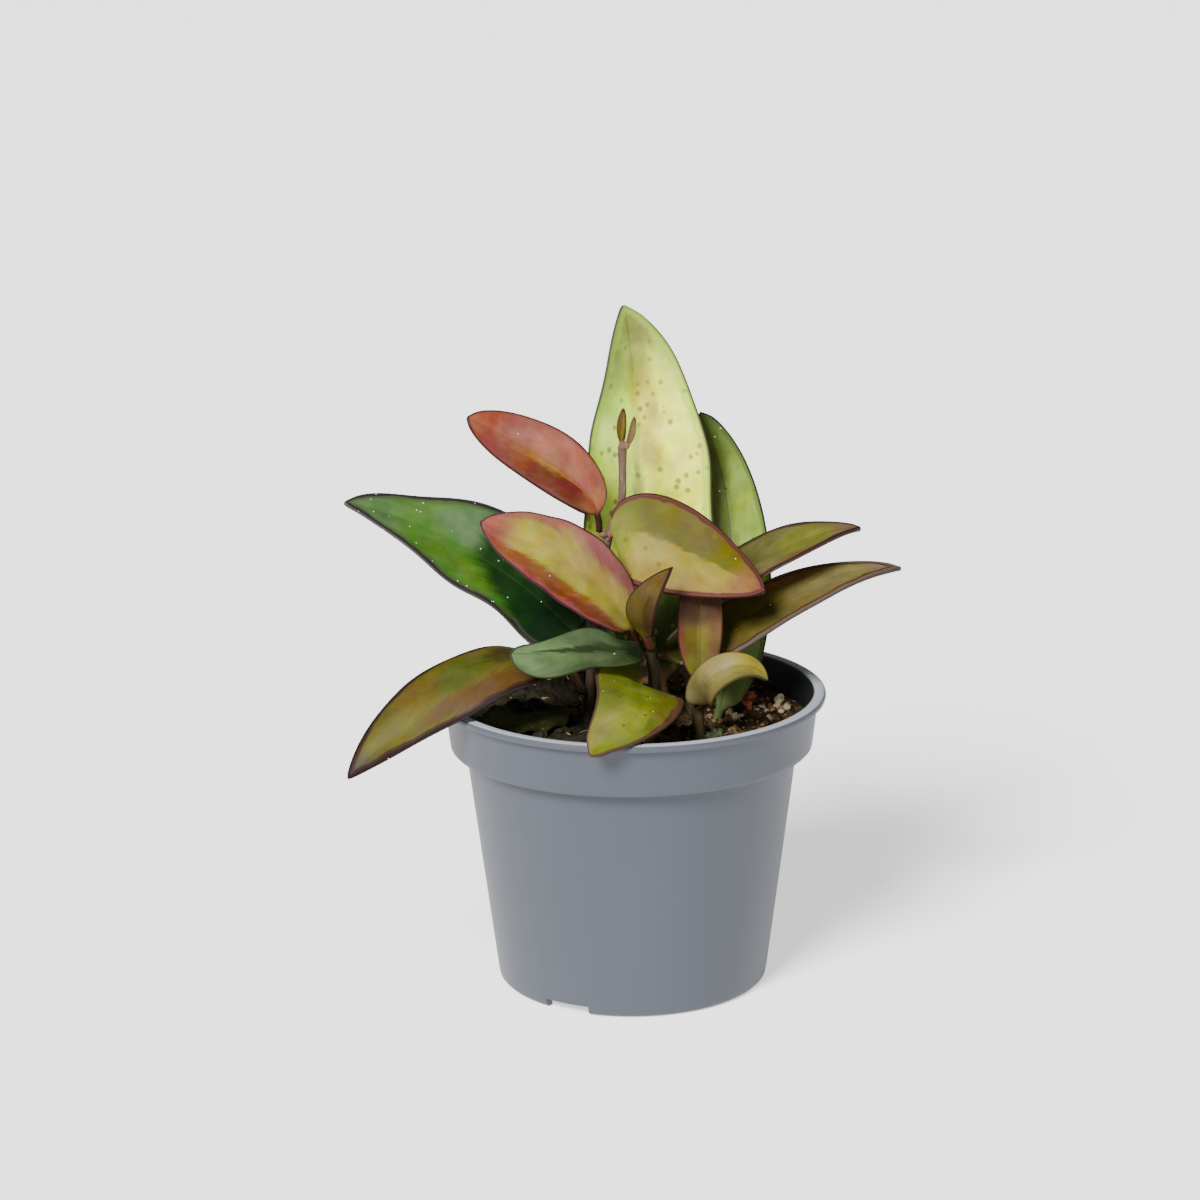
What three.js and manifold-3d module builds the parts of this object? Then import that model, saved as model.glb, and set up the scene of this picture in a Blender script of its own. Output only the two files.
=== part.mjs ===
// A young rosita hoya, a climbing plant with thick waxy leaves, in its nursery pot.
// Millimetres, +Z up. The origin is the middle of the pot's foot, on the surface it stands on,
// and -Y is the side that the small front leaf hangs over.

import * as THREE from 'three';
import { mergeVertices } from 'three/addons/utils/BufferGeometryUtils.js';
import Module from 'manifold-3d';

const wasm = await Module();
wasm.setup();

// Pot: a moulded 9 cm nursery pot
const POT_HEIGHT = 69;
const LIP_RADIUS = 45;
const LIP_DEPTH = 1.7;
const COLLAR_TOP_RADIUS = 43.2;
const COLLAR_FOOT_RADIUS = 41.9;
const COLLAR_FOOT_Z = 56.3;
const BODY_TOP_RADIUS = 38.5;
const FOOT_RADIUS = 31.3;
const FOOT_ROUNDING = 1.5;
const WALL = 1.2;
const FLOOR_UNDERSIDE_Z = 2.4;
const FLOOR_THICKNESS = 1.2;
const FOOT_RING_WIDTH = 2.4;
const CENTRE_PAD_RADIUS = 5;
const LIP_ROUNDING = 0.5;
const POT_SIDES = 56;
const NOTCH_COUNT = 3;
const NOTCH_HEIGHT = 2.3;
const NOTCH_LENGTH = 11;
const NOTCH_FIRST_AZIMUTH = -119.5;
const DRAIN_COUNT = 6;
const DRAIN_RADIUS = 3;
const DRAIN_CIRCLE_RADIUS = 19;

// Clearance between pieces that touch
const GAP = 0.3;

// Soil: peat mix, its top a little below the lip
const SOIL_TOP_Z = 61.8;
const SOIL_RELIEF = 0.54;
const SOIL_TOP_SPREAD = 0.5;
const SOIL_SIDES = 40;
const SOIL_RINGS = [0.14, 0.28, 0.42, 0.56, 0.7, 0.82, 0.93, 1];
const HOLE_SIDES = 12;
const HOLE_CLEARANCE = 0.7;
const HOLE_TOP_Z = 68;
const HOLE_FLOOR_Z = 54;

// Stems: round, a little thicker at the joints that leaves grow from
const STEM_FOOT_Z = 54.6;
const STEM_SIDES = 8;
const STEM_RING_STEP = 4;
const NODE_SWELL = 0.22;

// Leaves: thick waxy blades on short stalks
const STALK_RADIUS = 1.0;
const EDGE_HALF_THICKNESS = 0.36;
const MIDRIB_HALF_THICKNESS = 0.66;
const TIP_HALF_WIDTH = 0.45;
const ACROSS = [1, 0.7, 0.35, 0, -0.35, -0.7, -1];
const BLADE_STATIONS = [0.04, 0.12, 0.22, 0.34, 0.46, 0.58, 0.7, 0.82, 0.92, 1];
const STALK_STATIONS = [0, 0.4, 0.8, 1];

const COLOURS = {
  pot: 0x7f8891,
  soil: 0x2b2018,
  stem: 0x8a5c50,
  darkStem: 0x3a241c,
};

// Each stem: its route from the soil up, its radius below and above, and where its nodes swell
const STEMS = [
  {
    name: 'stem_main',
    route: [[-10, -3, STEM_FOOT_Z], [-9.6, -2.6, 66], [-8.3, -1, 84], [-5, 0, 105], [-2, 0, 112.7],
      [-1.6, 0, 126.4]],
    radii: [1.25, 0.85],
    nodes: [0.2, 0.36, 0.7, 0.99],
    colour: COLOURS.stem,
  },
  {
    name: 'stem_front',
    route: [[7, -10, STEM_FOOT_Z], [5.8, -11, 70], [4.4, -11.2, 81]],
    radii: [1.3, 1.15],
    nodes: [0.93],
    colour: COLOURS.darkStem,
  },
  {
    name: 'stem_right',
    route: [[15.4, -13.6, STEM_FOOT_Z], [15.1, -14.4, 64], [14.8, -14.8, 71.2]],
    radii: [1.5, 1.25],
    nodes: [0.9],
    colour: COLOURS.darkStem,
  },
  {
    name: 'stem_rear',
    route: [[13.8, 4.2, STEM_FOOT_Z], [13.9, 4.8, 74], [13.4, 5, 87.2]],
    radii: [1.3, 1.1],
    nodes: [0.95],
    colour: COLOURS.stem,
  },
];

// Each leaf: spine = the four control points of the curve from its stalk's foot to its tip,
// face = where its upper side looks at the foot and at the tip, stalk = the share of the curve that
// is stalk, halves = the widths left and right of the midrib, shape = how round the base and the
// tip are (lower is rounder), shapeRight = the same for the right half where it differs, fold =
// how much the halves rise from the midrib, curl = how much the margins turn up, wave = height
// and number of the margin's waves, ripple = height, number and start of the outline's waves.
const LEAVES = [
  {
    name: 'leaf_tall_pale',
    spine: [[10.5, 5, 56], [-2.5, 16, 100], [5.2, 19, 128.5], [-1.1, 21, 155]],
    face: [[0.26, -0.96, 0.1], [0.56, -0.82, 0.13]],
    stalk: 0.1, halves: [16.4, 17], shape: [0.42, 0.74], shapeRight: [0.48, 0.73],
    fold: 0.24, curl: 0.06, wave: [0.3, 3], ripple: [0.45, 3.1, 1.7],
    colour: 0xcfd492,
  },
  {
    name: 'leaf_tall_green',
    spine: [[17.4, -8, 56], [25, 10.5, 70.6], [28, 28, 106], [16.9, 31, 127.6]],
    face: [[-0.1, -0.98, 0.1], [-0.1, -0.98, 0.1]],
    stalk: 0.15, halves: [7.4, 9.2], shape: [0.8, 0.62], shapeRight: [0.42, 0.62],
    fold: 0.2, curl: 0, wave: [0.3, 3],
    colour: 0x8ea457,
  },
  {
    name: 'leaf_terracotta',
    spine: [[-7.1, -0.7, 106.5], [-6, -1, 117.6], [-21.5, -3, 125], [-36.5, -5, 134.5]],
    face: [[0.2, -0.6, 0.77], [0, -0.85, 0.52]],
    stalk: 0.14, halves: [7.6, 7.9], shape: [0.57, 0.6], fold: 0.2, curl: 0.04, wave: [0.2, 2],
    colour: 0xa8604e,
  },
  {
    name: 'leaf_yellow_left',
    spine: [[2, -10.3, 80.8], [-3, -18.3, 99.8], [-19.4, -19, 106.8], [-33.5, -20, 113.9]],
    face: [[0.1, -0.71, 0.69], [0.05, -0.8, 0.59]],
    stalk: 0.12, halves: [9.4, 9.4], shape: [0.57, 0.69], fold: 0.15, curl: 0, wave: [0.3, 2],
    colour: 0xb8a45e,
  },
  {
    name: 'leaf_young',
    spine: [[4.4, -11.4, 82], [2.5, -17, 89.3], [-0.6, -21.2, 92.9], [9.1, -23, 103.9]],
    face: [[-0.53, -0.82, 0.2], [-0.55, -0.8, 0.23]],
    stalk: 0.2, halves: [4.4, 4.4], shape: [0.53, 0.8], fold: 0.16, curl: 0, wave: [0, 1],
    colour: 0x6a5a22,
  },
  {
    name: 'leaf_yellow_right',
    spine: [[-4.5, -2.3, 106.2], [-2.7, -4.6, 110.4], [11, -9, 104.7], [30.2, -16.5, 96.2]],
    face: [[-0.27, -0.95, 0.15], [0, -0.66, 0.75]],
    stalk: 0.08, halves: [10.6, 11.6], shape: [0.57, 0.69], fold: 0.04, curl: -0.07, wave: [0.3, 2],
    colour: 0xa8a35a,
  },
  {
    name: 'leaf_narrow_pink',
    spine: [[14.8, -14.9, 72], [16.1, -16, 79], [14.6, -13, 92.3], [16.9, -6, 105.8]],
    face: [[0.12, -0.99, 0.1], [0.07, -0.99, 0.1]],
    stalk: 0.14, halves: [5.2, 5.2], shape: [0.58, 0.66], fold: 0.15, curl: 0, wave: [0.2, 2],
    colour: 0xa08048,
  },
  {
    name: 'leaf_small_curled',
    spine: [[15.5, -17.4, 69.6], [15.1, -22, 79.4], [26.6, -23, 84.6], [30.4, -20, 76.5]],
    face: [[0.1, -0.51, 0.85], [0.1, -0.67, 0.73]],
    stalk: 0.04, halves: [4.2, 5.1], shape: [0.25, 0.55], fold: 0.18, curl: 0.02, wave: [0, 1],
    colour: 0xa8a860,
  },
  {
    name: 'leaf_upper_right',
    spine: [[14.5, 4.8, 88.5], [19, 0.5, 91.6], [37, 0, 105.6], [52.8, 1, 106.4]],
    face: [[0, -0.43, 0.9], [-0.07, -0.08, 0.99]],
    stalk: 0.15, halves: [9.6, 9.7], shape: [0.55, 0.72], fold: 0.16, curl: 0, wave: [0.3, 2],
    colour: 0x7c7838,
  },
  {
    name: 'leaf_lower_right',
    spine: [[6, -9.6, 79.8], [18.5, -4, 77.5], [39, -1, 98.6], [62, -1, 97.4]],
    face: [[0, -0.48, 0.88], [0, -0.28, 0.96]],
    stalk: 0.05, halves: [8.4, 8.8], shape: [0.46, 0.74], fold: 0.11, curl: -0.02, wave: [0.3, 2],
    colour: 0x756428,
  },
  {
    name: 'leaf_green_left',
    spine: [[-11.2, -1.6, 80.6], [-18, 1.6, 89.4], [-41, 1, 108], [-65, -2, 114.2]],
    face: [[0, -0.79, 0.6], [0.1, -0.61, 0.79]],
    stalk: 0.05, halves: [11.2, 12.3], shape: [0.36, 0.77], shapeRight: [0.62, 0.77],
    fold: 0.16, curl: 0, wave: [0.8, 3], ripple: [1.5, 1.43, 1.74],
    colour: 0x4a7a30,
  },
  {
    name: 'leaf_sage',
    spine: [[2.5, -13.2, 79], [1.5, -20.3, 85.3], [-15.4, -26, 83.8], [-27, -27, 85.4]],
    face: [[0.12, -0.7, 0.72], [0.1, -0.85, 0.5]],
    stalk: 0.06, halves: [3.6, 5.1], shape: [0.34, 0.5], fold: 0.1, curl: 0, wave: [0.9, 2],
    ripple: [0.9, 1.6, 0.2],
    colour: 0x6a8a58,
  },
  {
    name: 'leaf_low_left',
    spine: [[-11.2, -4.2, 69], [-17.1, -14, 92], [-47.8, -24, 78.3], [-63.7, -30, 57.4]],
    face: [[-0.17, -0.03, 0.98], [0.22, -0.68, 0.7]],
    stalk: 0.14, halves: [9.4, 9], shape: [0.58, 0.83], fold: -0.08, curl: -0.15, wave: [0.3, 3],
    colour: 0x857c34,
  },
  {
    name: 'leaf_front',
    spine: [[3.8, -13, 74.9], [-7, -12, 74.6], [14.3, -33, 77.9], [-9.5, -49, 68.4]],
    face: [[0.6, -0.5, 0.6], [0.06, -0.56, 0.83]],
    stalk: 0.06, halves: [11.4, 11.2], shape: [0.25, 0.77], shapeRight: [0.54, 0.47],
    fold: 0.08, curl: -0.04, wave: [0, 1],
    colour: 0x808a2c,
  },
  {
    name: 'leaf_old_dark',
    spine: [[-12.6, 0.6, 63], [-18, -3, 65], [-27, -7, 64.4], [-36, -9, 63]],
    face: [[0, -0.2, 1], [0, -0.15, 1]],
    stalk: 0.14, halves: [8.4, 8.4], shape: [0.5, 0.6], fold: 0, curl: 0, wave: [0.3, 2],
    colour: 0x2a2f1a,
  },
  {
    name: 'bud_tall',
    spine: [[-1.6, 0, 126.9], [-2.2, -0.2, 130], [-1.6, 0.2, 132.4], [-1.4, 0.4, 134.6]],
    face: [[0, -1, 0.05], [0, -1, 0.05]],
    stalk: 0.06, halves: [1.25, 1.25], shape: [0.5, 0.6], fold: 0.3, curl: 0, wave: [0, 1],
    colour: 0x7a5a22, plump: 1.1, stalkRadius: 0.6,
  },
  {
    name: 'bud_small',
    spine: [[-0.5, -1.2, 126.6], [0.4, -1.9, 128.6], [0.9, -2, 131], [1.2, -2.1, 133]],
    face: [[0.3, -0.95, 0], [0.3, -0.95, 0]],
    stalk: 0.1, halves: [0.75, 0.75], shape: [0.4, 0.5], fold: 0.2, curl: 0, wave: [0, 1],
    colour: 0xb0905e, plump: 1, stalkRadius: 0.5,
  },
];

const NO_RIPPLE = [0, 1, 0];

const vector = (point) => new THREE.Vector3(...point);

// A closed body through a row of rings, each with the same number of points. flips says which
// strips between ring points take the other diagonal.
function loft(rings, flips = () => false) {
  const ringSize = rings[0].length;
  const positions = rings.flat().flatMap((point) => [point.x, point.y, point.z]);
  const triangles = [];
  for (let i = 0; i < rings.length - 1; i += 1) {
    for (let j = 0; j < ringSize; j += 1) {
      const next = (j + 1) % ringSize;
      const [a, b] = [i * ringSize + j, i * ringSize + next];
      const [c, d] = [a + ringSize, b + ringSize];
      if (flips(j)) triangles.push(a, b, c, b, d, c);
      else triangles.push(a, b, d, a, d, c);
    }
  }
  const lastStart = (rings.length - 1) * ringSize;
  for (let j = 1; j < ringSize - 1; j += 1) {
    triangles.push(0, j + 1, j);
    triangles.push(lastStart, lastStart + j, lastStart + j + 1);
  }
  const geometry = new THREE.BufferGeometry();
  geometry.setAttribute('position', new THREE.Float32BufferAttribute(positions, 3));
  geometry.setIndex(triangles);
  return geometry;
}

// 0 at the base and the tip, 1 at the widest place
function bladeWidth(along, [baseShape, tipShape]) {
  const widest = baseShape / (baseShape + tipShape);
  return (along / widest) ** baseShape * ((1 - along) / (1 - widest)) ** tipShape;
}

function halfThickness(across, isStalk, leaf) {
  const stalkRadius = leaf.stalkRadius ?? STALK_RADIUS;
  if (isStalk) return Math.max(EDGE_HALF_THICKNESS, stalkRadius * Math.sqrt(1 - across * across));
  const rise = MIDRIB_HALF_THICKNESS * (leaf.plump ?? 1) - EDGE_HALF_THICKNESS;
  return EDGE_HALF_THICKNESS + rise * (1 - Math.abs(across) ** 1.5);
}

function leafGeometry(leaf) {
  const spine = new THREE.CubicBezierCurve3(...leaf.spine.map(vector));
  const [faceFoot, faceTip] = leaf.face.map(vector);
  const shapes = { left: leaf.shape, right: leaf.shapeRight ?? leaf.shape };
  const stalkRadius = leaf.stalkRadius ?? STALK_RADIUS;

  const surface = (t, across, along) => {
    const tangent = spine.getTangent(t);
    const face = faceFoot.clone().lerp(faceTip, t).normalize();
    const left = face.cross(tangent).normalize();
    const normal = tangent.cross(left).normalize();
    const isStalk = along <= 0;
    const isLeft = across > 0;
    const full = isLeft ? leaf.halves[0] : leaf.halves[1];
    const share = isStalk ? 0 : bladeWidth(along, isLeft ? shapes.left : shapes.right);
    const least = isStalk ? stalkRadius : TIP_HALF_WIDTH;
    const [rippleHeight, rippleCount, rippleStart] = leaf.ripple ?? NO_RIPPLE;
    const ripplePhase = 2 * Math.PI * rippleCount * along + rippleStart + (isLeft ? 0 : 2);
    const ripple = rippleHeight * share * Math.sin(ripplePhase);
    const width = Math.max(full * share + ripple, least);
    const bend = isStalk ? 0 : (leaf.fold * Math.abs(across) + leaf.curl * across * across) * width;
    const [waveHeight, waveCount] = leaf.wave;
    const phase = 2 * Math.PI * waveCount * along + (isLeft ? 0 : 2);
    const wave = waveHeight * share * Math.sin(phase) * across * across;
    const point = spine.getPoint(t).addScaledVector(left, across * width);
    return { point: point.addScaledVector(normal, bend + wave), normal, isStalk };
  };

  const stations = [
    ...STALK_STATIONS.map((share) => ({ t: share * leaf.stalk, along: 0 })),
    ...BLADE_STATIONS.map((along) => ({ t: leaf.stalk + along * (1 - leaf.stalk), along })),
  ];
  const rings = stations.map(({ t, along }) => {
    const upper = [];
    const lower = [];
    for (const across of ACROSS) {
      const { point, normal, isStalk } = surface(t, across, along);
      const half = halfThickness(across, isStalk, leaf);
      upper.push(point.clone().addScaledVector(normal, half));
      lower.unshift(point.clone().addScaledVector(normal, -half));
    }
    return [...upper, ...lower];
  });
  return loft(rings, (j) => j >= ACROSS.length);
}

function stemGeometry(stem) {
  const route = new THREE.CatmullRomCurve3(stem.route.map(vector), false, 'centripetal');
  const steps = Math.round(route.getLength() / STEM_RING_STEP);
  const rings = [];
  for (let i = 0; i <= steps; i += 1) {
    const t = i / steps;
    const tangent = route.getTangentAt(t);
    const side = new THREE.Vector3(1, 0, 0).cross(tangent).normalize();
    const other = tangent.clone().cross(side);
    const swell = stem.nodes.reduce((sum, node) => sum + Math.exp(-(((t - node) * steps) ** 2)), 0);
    const radius = THREE.MathUtils.lerp(stem.radii[0], stem.radii[1], t) * (1 + NODE_SWELL * swell);
    const centre = route.getPointAt(t);
    rings.push(Array.from({ length: STEM_SIDES }, (_, j) => {
      const angle = (2 * Math.PI * j) / STEM_SIDES;
      return centre.clone()
        .addScaledVector(side, radius * Math.cos(angle))
        .addScaledVector(other, radius * Math.sin(angle));
    }));
  }
  return loft(rings);
}

function toSolid(geometry) {
  const bare = geometry.clone();
  bare.deleteAttribute('normal');
  bare.deleteAttribute('uv');
  const merged = mergeVertices(bare, 1e-4);
  return new wasm.Manifold(new wasm.Mesh({
    numProp: 3,
    vertProperties: new Float32Array(merged.attributes.position.array),
    triVerts: new Uint32Array(merged.index.array),
  }));
}

function toGeometry(solid) {
  const mesh = solid.getMesh();
  const geometry = new THREE.BufferGeometry();
  geometry.setAttribute('position', new THREE.BufferAttribute(mesh.vertProperties, 3));
  geometry.setIndex(new THREE.BufferAttribute(mesh.triVerts, 1));
  return geometry;
}

// A solid of revolution about Z from [radius, z] points that start and end on the axis
function turned(profile, sides) {
  const points = profile.map(([radius, z]) => new THREE.Vector2(radius, z));
  return new THREE.LatheGeometry(points, sides).rotateX(Math.PI / 2);
}

// The wall tapers in a straight line from the collar's foot to the pot's foot
const bodyRadius = (z) => THREE.MathUtils.mapLinear(z, 0, COLLAR_FOOT_Z, FOOT_RADIUS, BODY_TOP_RADIUS);
const innerRadius = (z) => bodyRadius(z) - WALL;

function potGeometry() {
  const floorTop = FLOOR_UNDERSIDE_Z + FLOOR_THICKNESS;
  const ringInner = FOOT_RADIUS - FOOT_RING_WIDTH;
  const lipInner = COLLAR_TOP_RADIUS - WALL;
  const profile = [
    [0, 0],
    [CENTRE_PAD_RADIUS, 0],
    [CENTRE_PAD_RADIUS, FLOOR_UNDERSIDE_Z],
    [ringInner, FLOOR_UNDERSIDE_Z],
    [ringInner, 0],
    [FOOT_RADIUS - FOOT_ROUNDING, 0],
    [FOOT_RADIUS - FOOT_ROUNDING / 3, FOOT_ROUNDING / 3],
    [bodyRadius(FOOT_ROUNDING), FOOT_ROUNDING],
    [BODY_TOP_RADIUS, COLLAR_FOOT_Z],
    [COLLAR_FOOT_RADIUS, COLLAR_FOOT_Z],
    [COLLAR_TOP_RADIUS, POT_HEIGHT - LIP_DEPTH],
    [LIP_RADIUS - LIP_ROUNDING, POT_HEIGHT - LIP_DEPTH],
    [LIP_RADIUS, POT_HEIGHT - LIP_DEPTH / 2],
    [LIP_RADIUS - LIP_ROUNDING, POT_HEIGHT],
    [lipInner + LIP_ROUNDING, POT_HEIGHT],
    [lipInner, POT_HEIGHT - LIP_DEPTH / 2],
    [COLLAR_FOOT_RADIUS - WALL, COLLAR_FOOT_Z + WALL],
    [innerRadius(COLLAR_FOOT_Z), COLLAR_FOOT_Z - WALL],
    [innerRadius(floorTop), floorTop],
    [0, floorTop],
  ];
  let pot = toSolid(turned(profile, POT_SIDES));
  for (let i = 0; i < NOTCH_COUNT; i += 1) {
    const azimuth = THREE.MathUtils.degToRad(NOTCH_FIRST_AZIMUTH + (360 * i) / NOTCH_COUNT);
    const notch = new THREE.BoxGeometry(FOOT_RING_WIDTH * 3, NOTCH_LENGTH, NOTCH_HEIGHT * 2);
    notch.translate(FOOT_RADIUS, 0, 0).rotateZ(azimuth);
    pot = pot.subtract(toSolid(notch));
  }
  for (let i = 0; i < DRAIN_COUNT; i += 1) {
    const drain = new THREE.CylinderGeometry(DRAIN_RADIUS, DRAIN_RADIUS, FLOOR_THICKNESS * 4, 16);
    drain.rotateX(Math.PI / 2).translate(DRAIN_CIRCLE_RADIUS, 0, FLOOR_UNDERSIDE_Z);
    drain.rotateZ((2 * Math.PI * (i + 0.5)) / DRAIN_COUNT);
    pot = pot.subtract(toSolid(drain));
  }
  return toGeometry(pot);
}

// Low lumps that die out at the pot's wall. Three crossing waves of unlike lengths make them, and
// their phases only set where the lumps fall.
function soilHeight(x, y, share) {
  const lumps = Math.sin(0.31 * x + 1.2) * Math.cos(0.27 * y - 0.6)
    + 0.6 * Math.sin(0.63 * x - 0.52 * y) + 0.4 * Math.cos(0.9 * y + 0.5 * x);
  return SOIL_TOP_Z + SOIL_RELIEF * lumps * (1 - share ** 6);
}

// Every stem and stalk that stands in the soil, with its radius
function soilHoles() {
  const stems = STEMS.map((stem) => ({ foot: stem.route[0], next: stem.route[1], radius: stem.radii[0] }));
  const rooted = LEAVES.filter((leaf) => leaf.spine[0][2] < SOIL_TOP_Z - 2);
  const stalks = rooted.map((leaf) => ({
    foot: leaf.spine[0],
    next: leaf.spine[1],
    radius: STALK_RADIUS,
  }));
  return [...stems, ...stalks];
}

function soilGeometry() {
  const floorZ = FLOOR_UNDERSIDE_Z + FLOOR_THICKNESS + GAP;
  const shoulderZ = COLLAR_FOOT_Z - WALL;
  const collarInner = COLLAR_FOOT_RADIUS - WALL;
  const topRadius = collarInner + SOIL_TOP_SPREAD - GAP;
  const ring = (radius, z) => Array.from({ length: SOIL_SIDES }, (_, j) => {
    const angle = (2 * Math.PI * j) / SOIL_SIDES;
    return new THREE.Vector3(radius * Math.cos(angle), radius * Math.sin(angle), z);
  });
  const sides = [
    ring(innerRadius(floorZ) - GAP * 2, floorZ),
    ring(innerRadius(shoulderZ) - GAP * 2, shoulderZ),
    ring(collarInner - GAP * 2, COLLAR_FOOT_Z + WALL * 1.5),
  ];
  const top = [...SOIL_RINGS].reverse().map((share) => ring(topRadius * share, 0).map((point) => (
    point.setZ(soilHeight(point.x, point.y, share))
  )));
  let soil = toSolid(loft([...sides, ...top]));
  for (const { foot, next, radius } of soilHoles()) {
    const start = vector(foot);
    const direction = vector(next).sub(start).normalize();
    const length = (HOLE_TOP_Z - HOLE_FLOOR_Z) / direction.z;
    const holeRadius = radius * (1 + NODE_SWELL) + HOLE_CLEARANCE;
    const hole = new THREE.CylinderGeometry(holeRadius, holeRadius, length, HOLE_SIDES);
    hole.translate(0, length / 2 - GAP, 0);
    hole.applyQuaternion(new THREE.Quaternion().setFromUnitVectors(new THREE.Vector3(0, 1, 0), direction));
    hole.translate(start.x, start.y, start.z);
    soil = soil.subtract(toSolid(hole));
  }
  return toGeometry(soil);
}

function piece(name, geometry, colour, roughness = 0.5) {
  const material = new THREE.MeshStandardMaterial({ color: colour, roughness, metalness: 0 });
  const mesh = new THREE.Mesh(geometry, material);
  mesh.name = name;
  return mesh;
}

const plant = new THREE.Group();
plant.add(piece('pot', potGeometry(), COLOURS.pot, 0.55));
plant.add(piece('soil', soilGeometry(), COLOURS.soil, 1));
for (const stem of STEMS) plant.add(piece(stem.name, stemGeometry(stem), stem.colour, 0.6));
for (const leaf of LEAVES) plant.add(piece(leaf.name, leafGeometry(leaf), leaf.colour, 0.4));

export default plant;
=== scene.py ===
import math
import random
from functools import partial

import bpy
from mathutils import Matrix, Vector, noise


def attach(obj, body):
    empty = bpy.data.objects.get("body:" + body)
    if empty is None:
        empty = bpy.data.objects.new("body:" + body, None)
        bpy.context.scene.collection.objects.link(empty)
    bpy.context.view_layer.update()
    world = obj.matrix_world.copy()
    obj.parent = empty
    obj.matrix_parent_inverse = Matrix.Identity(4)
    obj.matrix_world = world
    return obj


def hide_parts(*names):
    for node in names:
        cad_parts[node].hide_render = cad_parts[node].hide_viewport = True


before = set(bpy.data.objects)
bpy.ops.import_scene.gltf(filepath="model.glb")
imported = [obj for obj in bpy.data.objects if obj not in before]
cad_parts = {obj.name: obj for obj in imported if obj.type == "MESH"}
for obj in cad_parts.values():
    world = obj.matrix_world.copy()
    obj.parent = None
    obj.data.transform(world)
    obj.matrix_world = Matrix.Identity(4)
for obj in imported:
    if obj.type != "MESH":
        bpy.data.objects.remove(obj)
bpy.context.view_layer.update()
MM = 0.001


# Camera
# The plant is seen from a little above the rim, from about 0.8 m away through a long lens. The
# camera leans half a degree, as the photographer's did.
CAMERA_TARGET_MM = (-7.0, 0.0, 90.3)
CAMERA_DISTANCE_MM = 800.0
CAMERA_ELEVATION = math.radians(15.0)
CAMERA_ROLL = math.radians(0.5)
CAMERA_LENS = 104.57


def place_camera():
    """Stands the camera on its line of sight to the target, rolled a little."""
    forward = Vector((0, math.cos(CAMERA_ELEVATION), -math.sin(CAMERA_ELEVATION)))
    level_right = Vector((1, 0, 0))
    level_up = level_right.cross(forward)
    right = level_right * math.cos(CAMERA_ROLL) - level_up * math.sin(CAMERA_ROLL)
    up = level_right * math.sin(CAMERA_ROLL) + level_up * math.cos(CAMERA_ROLL)
    turn = Matrix((right, up, -forward)).transposed().to_4x4()
    place = (Vector(CAMERA_TARGET_MM) - forward * CAMERA_DISTANCE_MM) * MM
    camera = bpy.data.objects.new("camera", bpy.data.cameras.new("camera"))
    camera.data.lens = CAMERA_LENS
    camera.matrix_world = Matrix.Translation(place) @ turn
    bpy.context.collection.objects.link(camera)
    bpy.context.scene.camera = camera


place_camera()


# Studio
# A white light table under one large lamp that stands far off at the upper left, with a little
# light from all round. The far lamp lights the table evenly and throws a soft shadow to the right.
PAPER_WHITE = "#F6F6F5"
PAPER_GLOW = 1.0
PAPER_SIZE = 24.0
SKY_STRENGTH = 0.15
KEY_STRENGTH = 8.6
KEY_SPREAD = math.radians(22.0)
KEY_PLACE = (-0.55, -1.0, 1.0)
FILL_POWER = 4.0
FILL_SIZE = 0.9
FILL_PLACE = (0.9, -1.0, 0.5)
AIM = (0.0, 0.0, 0.08)


def linear(hex_colour):
    """The linear values of an sRGB hex colour, with full alpha."""
    parts = [int(hex_colour[i:i + 2], 16) / 255 for i in (1, 3, 5)]
    return [p / 12.92 if p <= 0.04045 else ((p + 0.055) / 1.055) ** 2.4 for p in parts] + [1.0]


def set_inputs(tree, node, inputs):
    """Links each input whose value is a node or a socket, and sets the others. A list goes in order."""
    for key, value in inputs.items() if isinstance(inputs, dict) else enumerate(inputs):
        source = value.outputs[0] if isinstance(value, bpy.types.Node) else value
        if isinstance(source, bpy.types.NodeSocket):
            tree.links.new(source, node.inputs[key])
        else:
            node.inputs[key].default_value = value


def add_node(tree, kind, inputs=(), **settings):
    """Adds one shader node with its settings and its inputs."""
    node = tree.nodes.new("ShaderNode" + kind)
    for name, value in settings.items():
        setattr(node, name, value)
    set_inputs(tree, node, inputs)
    return node


def set_shader(material, inputs):
    """Sets or links inputs of a material's own shader."""
    set_inputs(material.node_tree, material.node_tree.nodes["Principled BSDF"], inputs)


def new_material(name, colour, roughness, inputs=None):
    """A material of one colour, for its section to build on."""
    material = bpy.data.materials.new(name)
    material.use_nodes = True
    set_shader(material, {"Base Color": linear(colour), "Roughness": roughness, **(inputs or {})})
    return material


def aim_lamp(lamp, place):
    """Stands a lamp at its place, turned towards the plant."""
    holder = bpy.data.objects.new(lamp.name, lamp)
    holder.location = place
    holder.rotation_euler = (Vector(AIM) - Vector(place)).to_track_quat("-Z", "Y").to_euler()
    bpy.context.collection.objects.link(holder)


bpy.ops.object.select_all(action="DESELECT")
bpy.ops.mesh.primitive_plane_add(size=PAPER_SIZE)
paper = bpy.context.object
paper.name = "paper_sweep"
paper.data.materials.append(new_material("white_background_paper", PAPER_WHITE, 0.85, {
    "Emission Color": linear(PAPER_WHITE), "Emission Strength": PAPER_GLOW}))

sky = bpy.data.worlds.new("soft_studio")
sky.use_nodes = True
set_inputs(sky.node_tree, sky.node_tree.nodes["Background"], {
    "Color": (1, 1, 1, 1), "Strength": SKY_STRENGTH})
bpy.context.scene.world = sky
key = bpy.data.lights.new("key_lamp", "SUN")
key.energy = KEY_STRENGTH
key.angle = KEY_SPREAD
aim_lamp(key, KEY_PLACE)
fill = bpy.data.lights.new("fill_lamp", "AREA")
fill.energy = FILL_POWER
fill.size = FILL_SIZE
aim_lamp(fill, FILL_PLACE)


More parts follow.
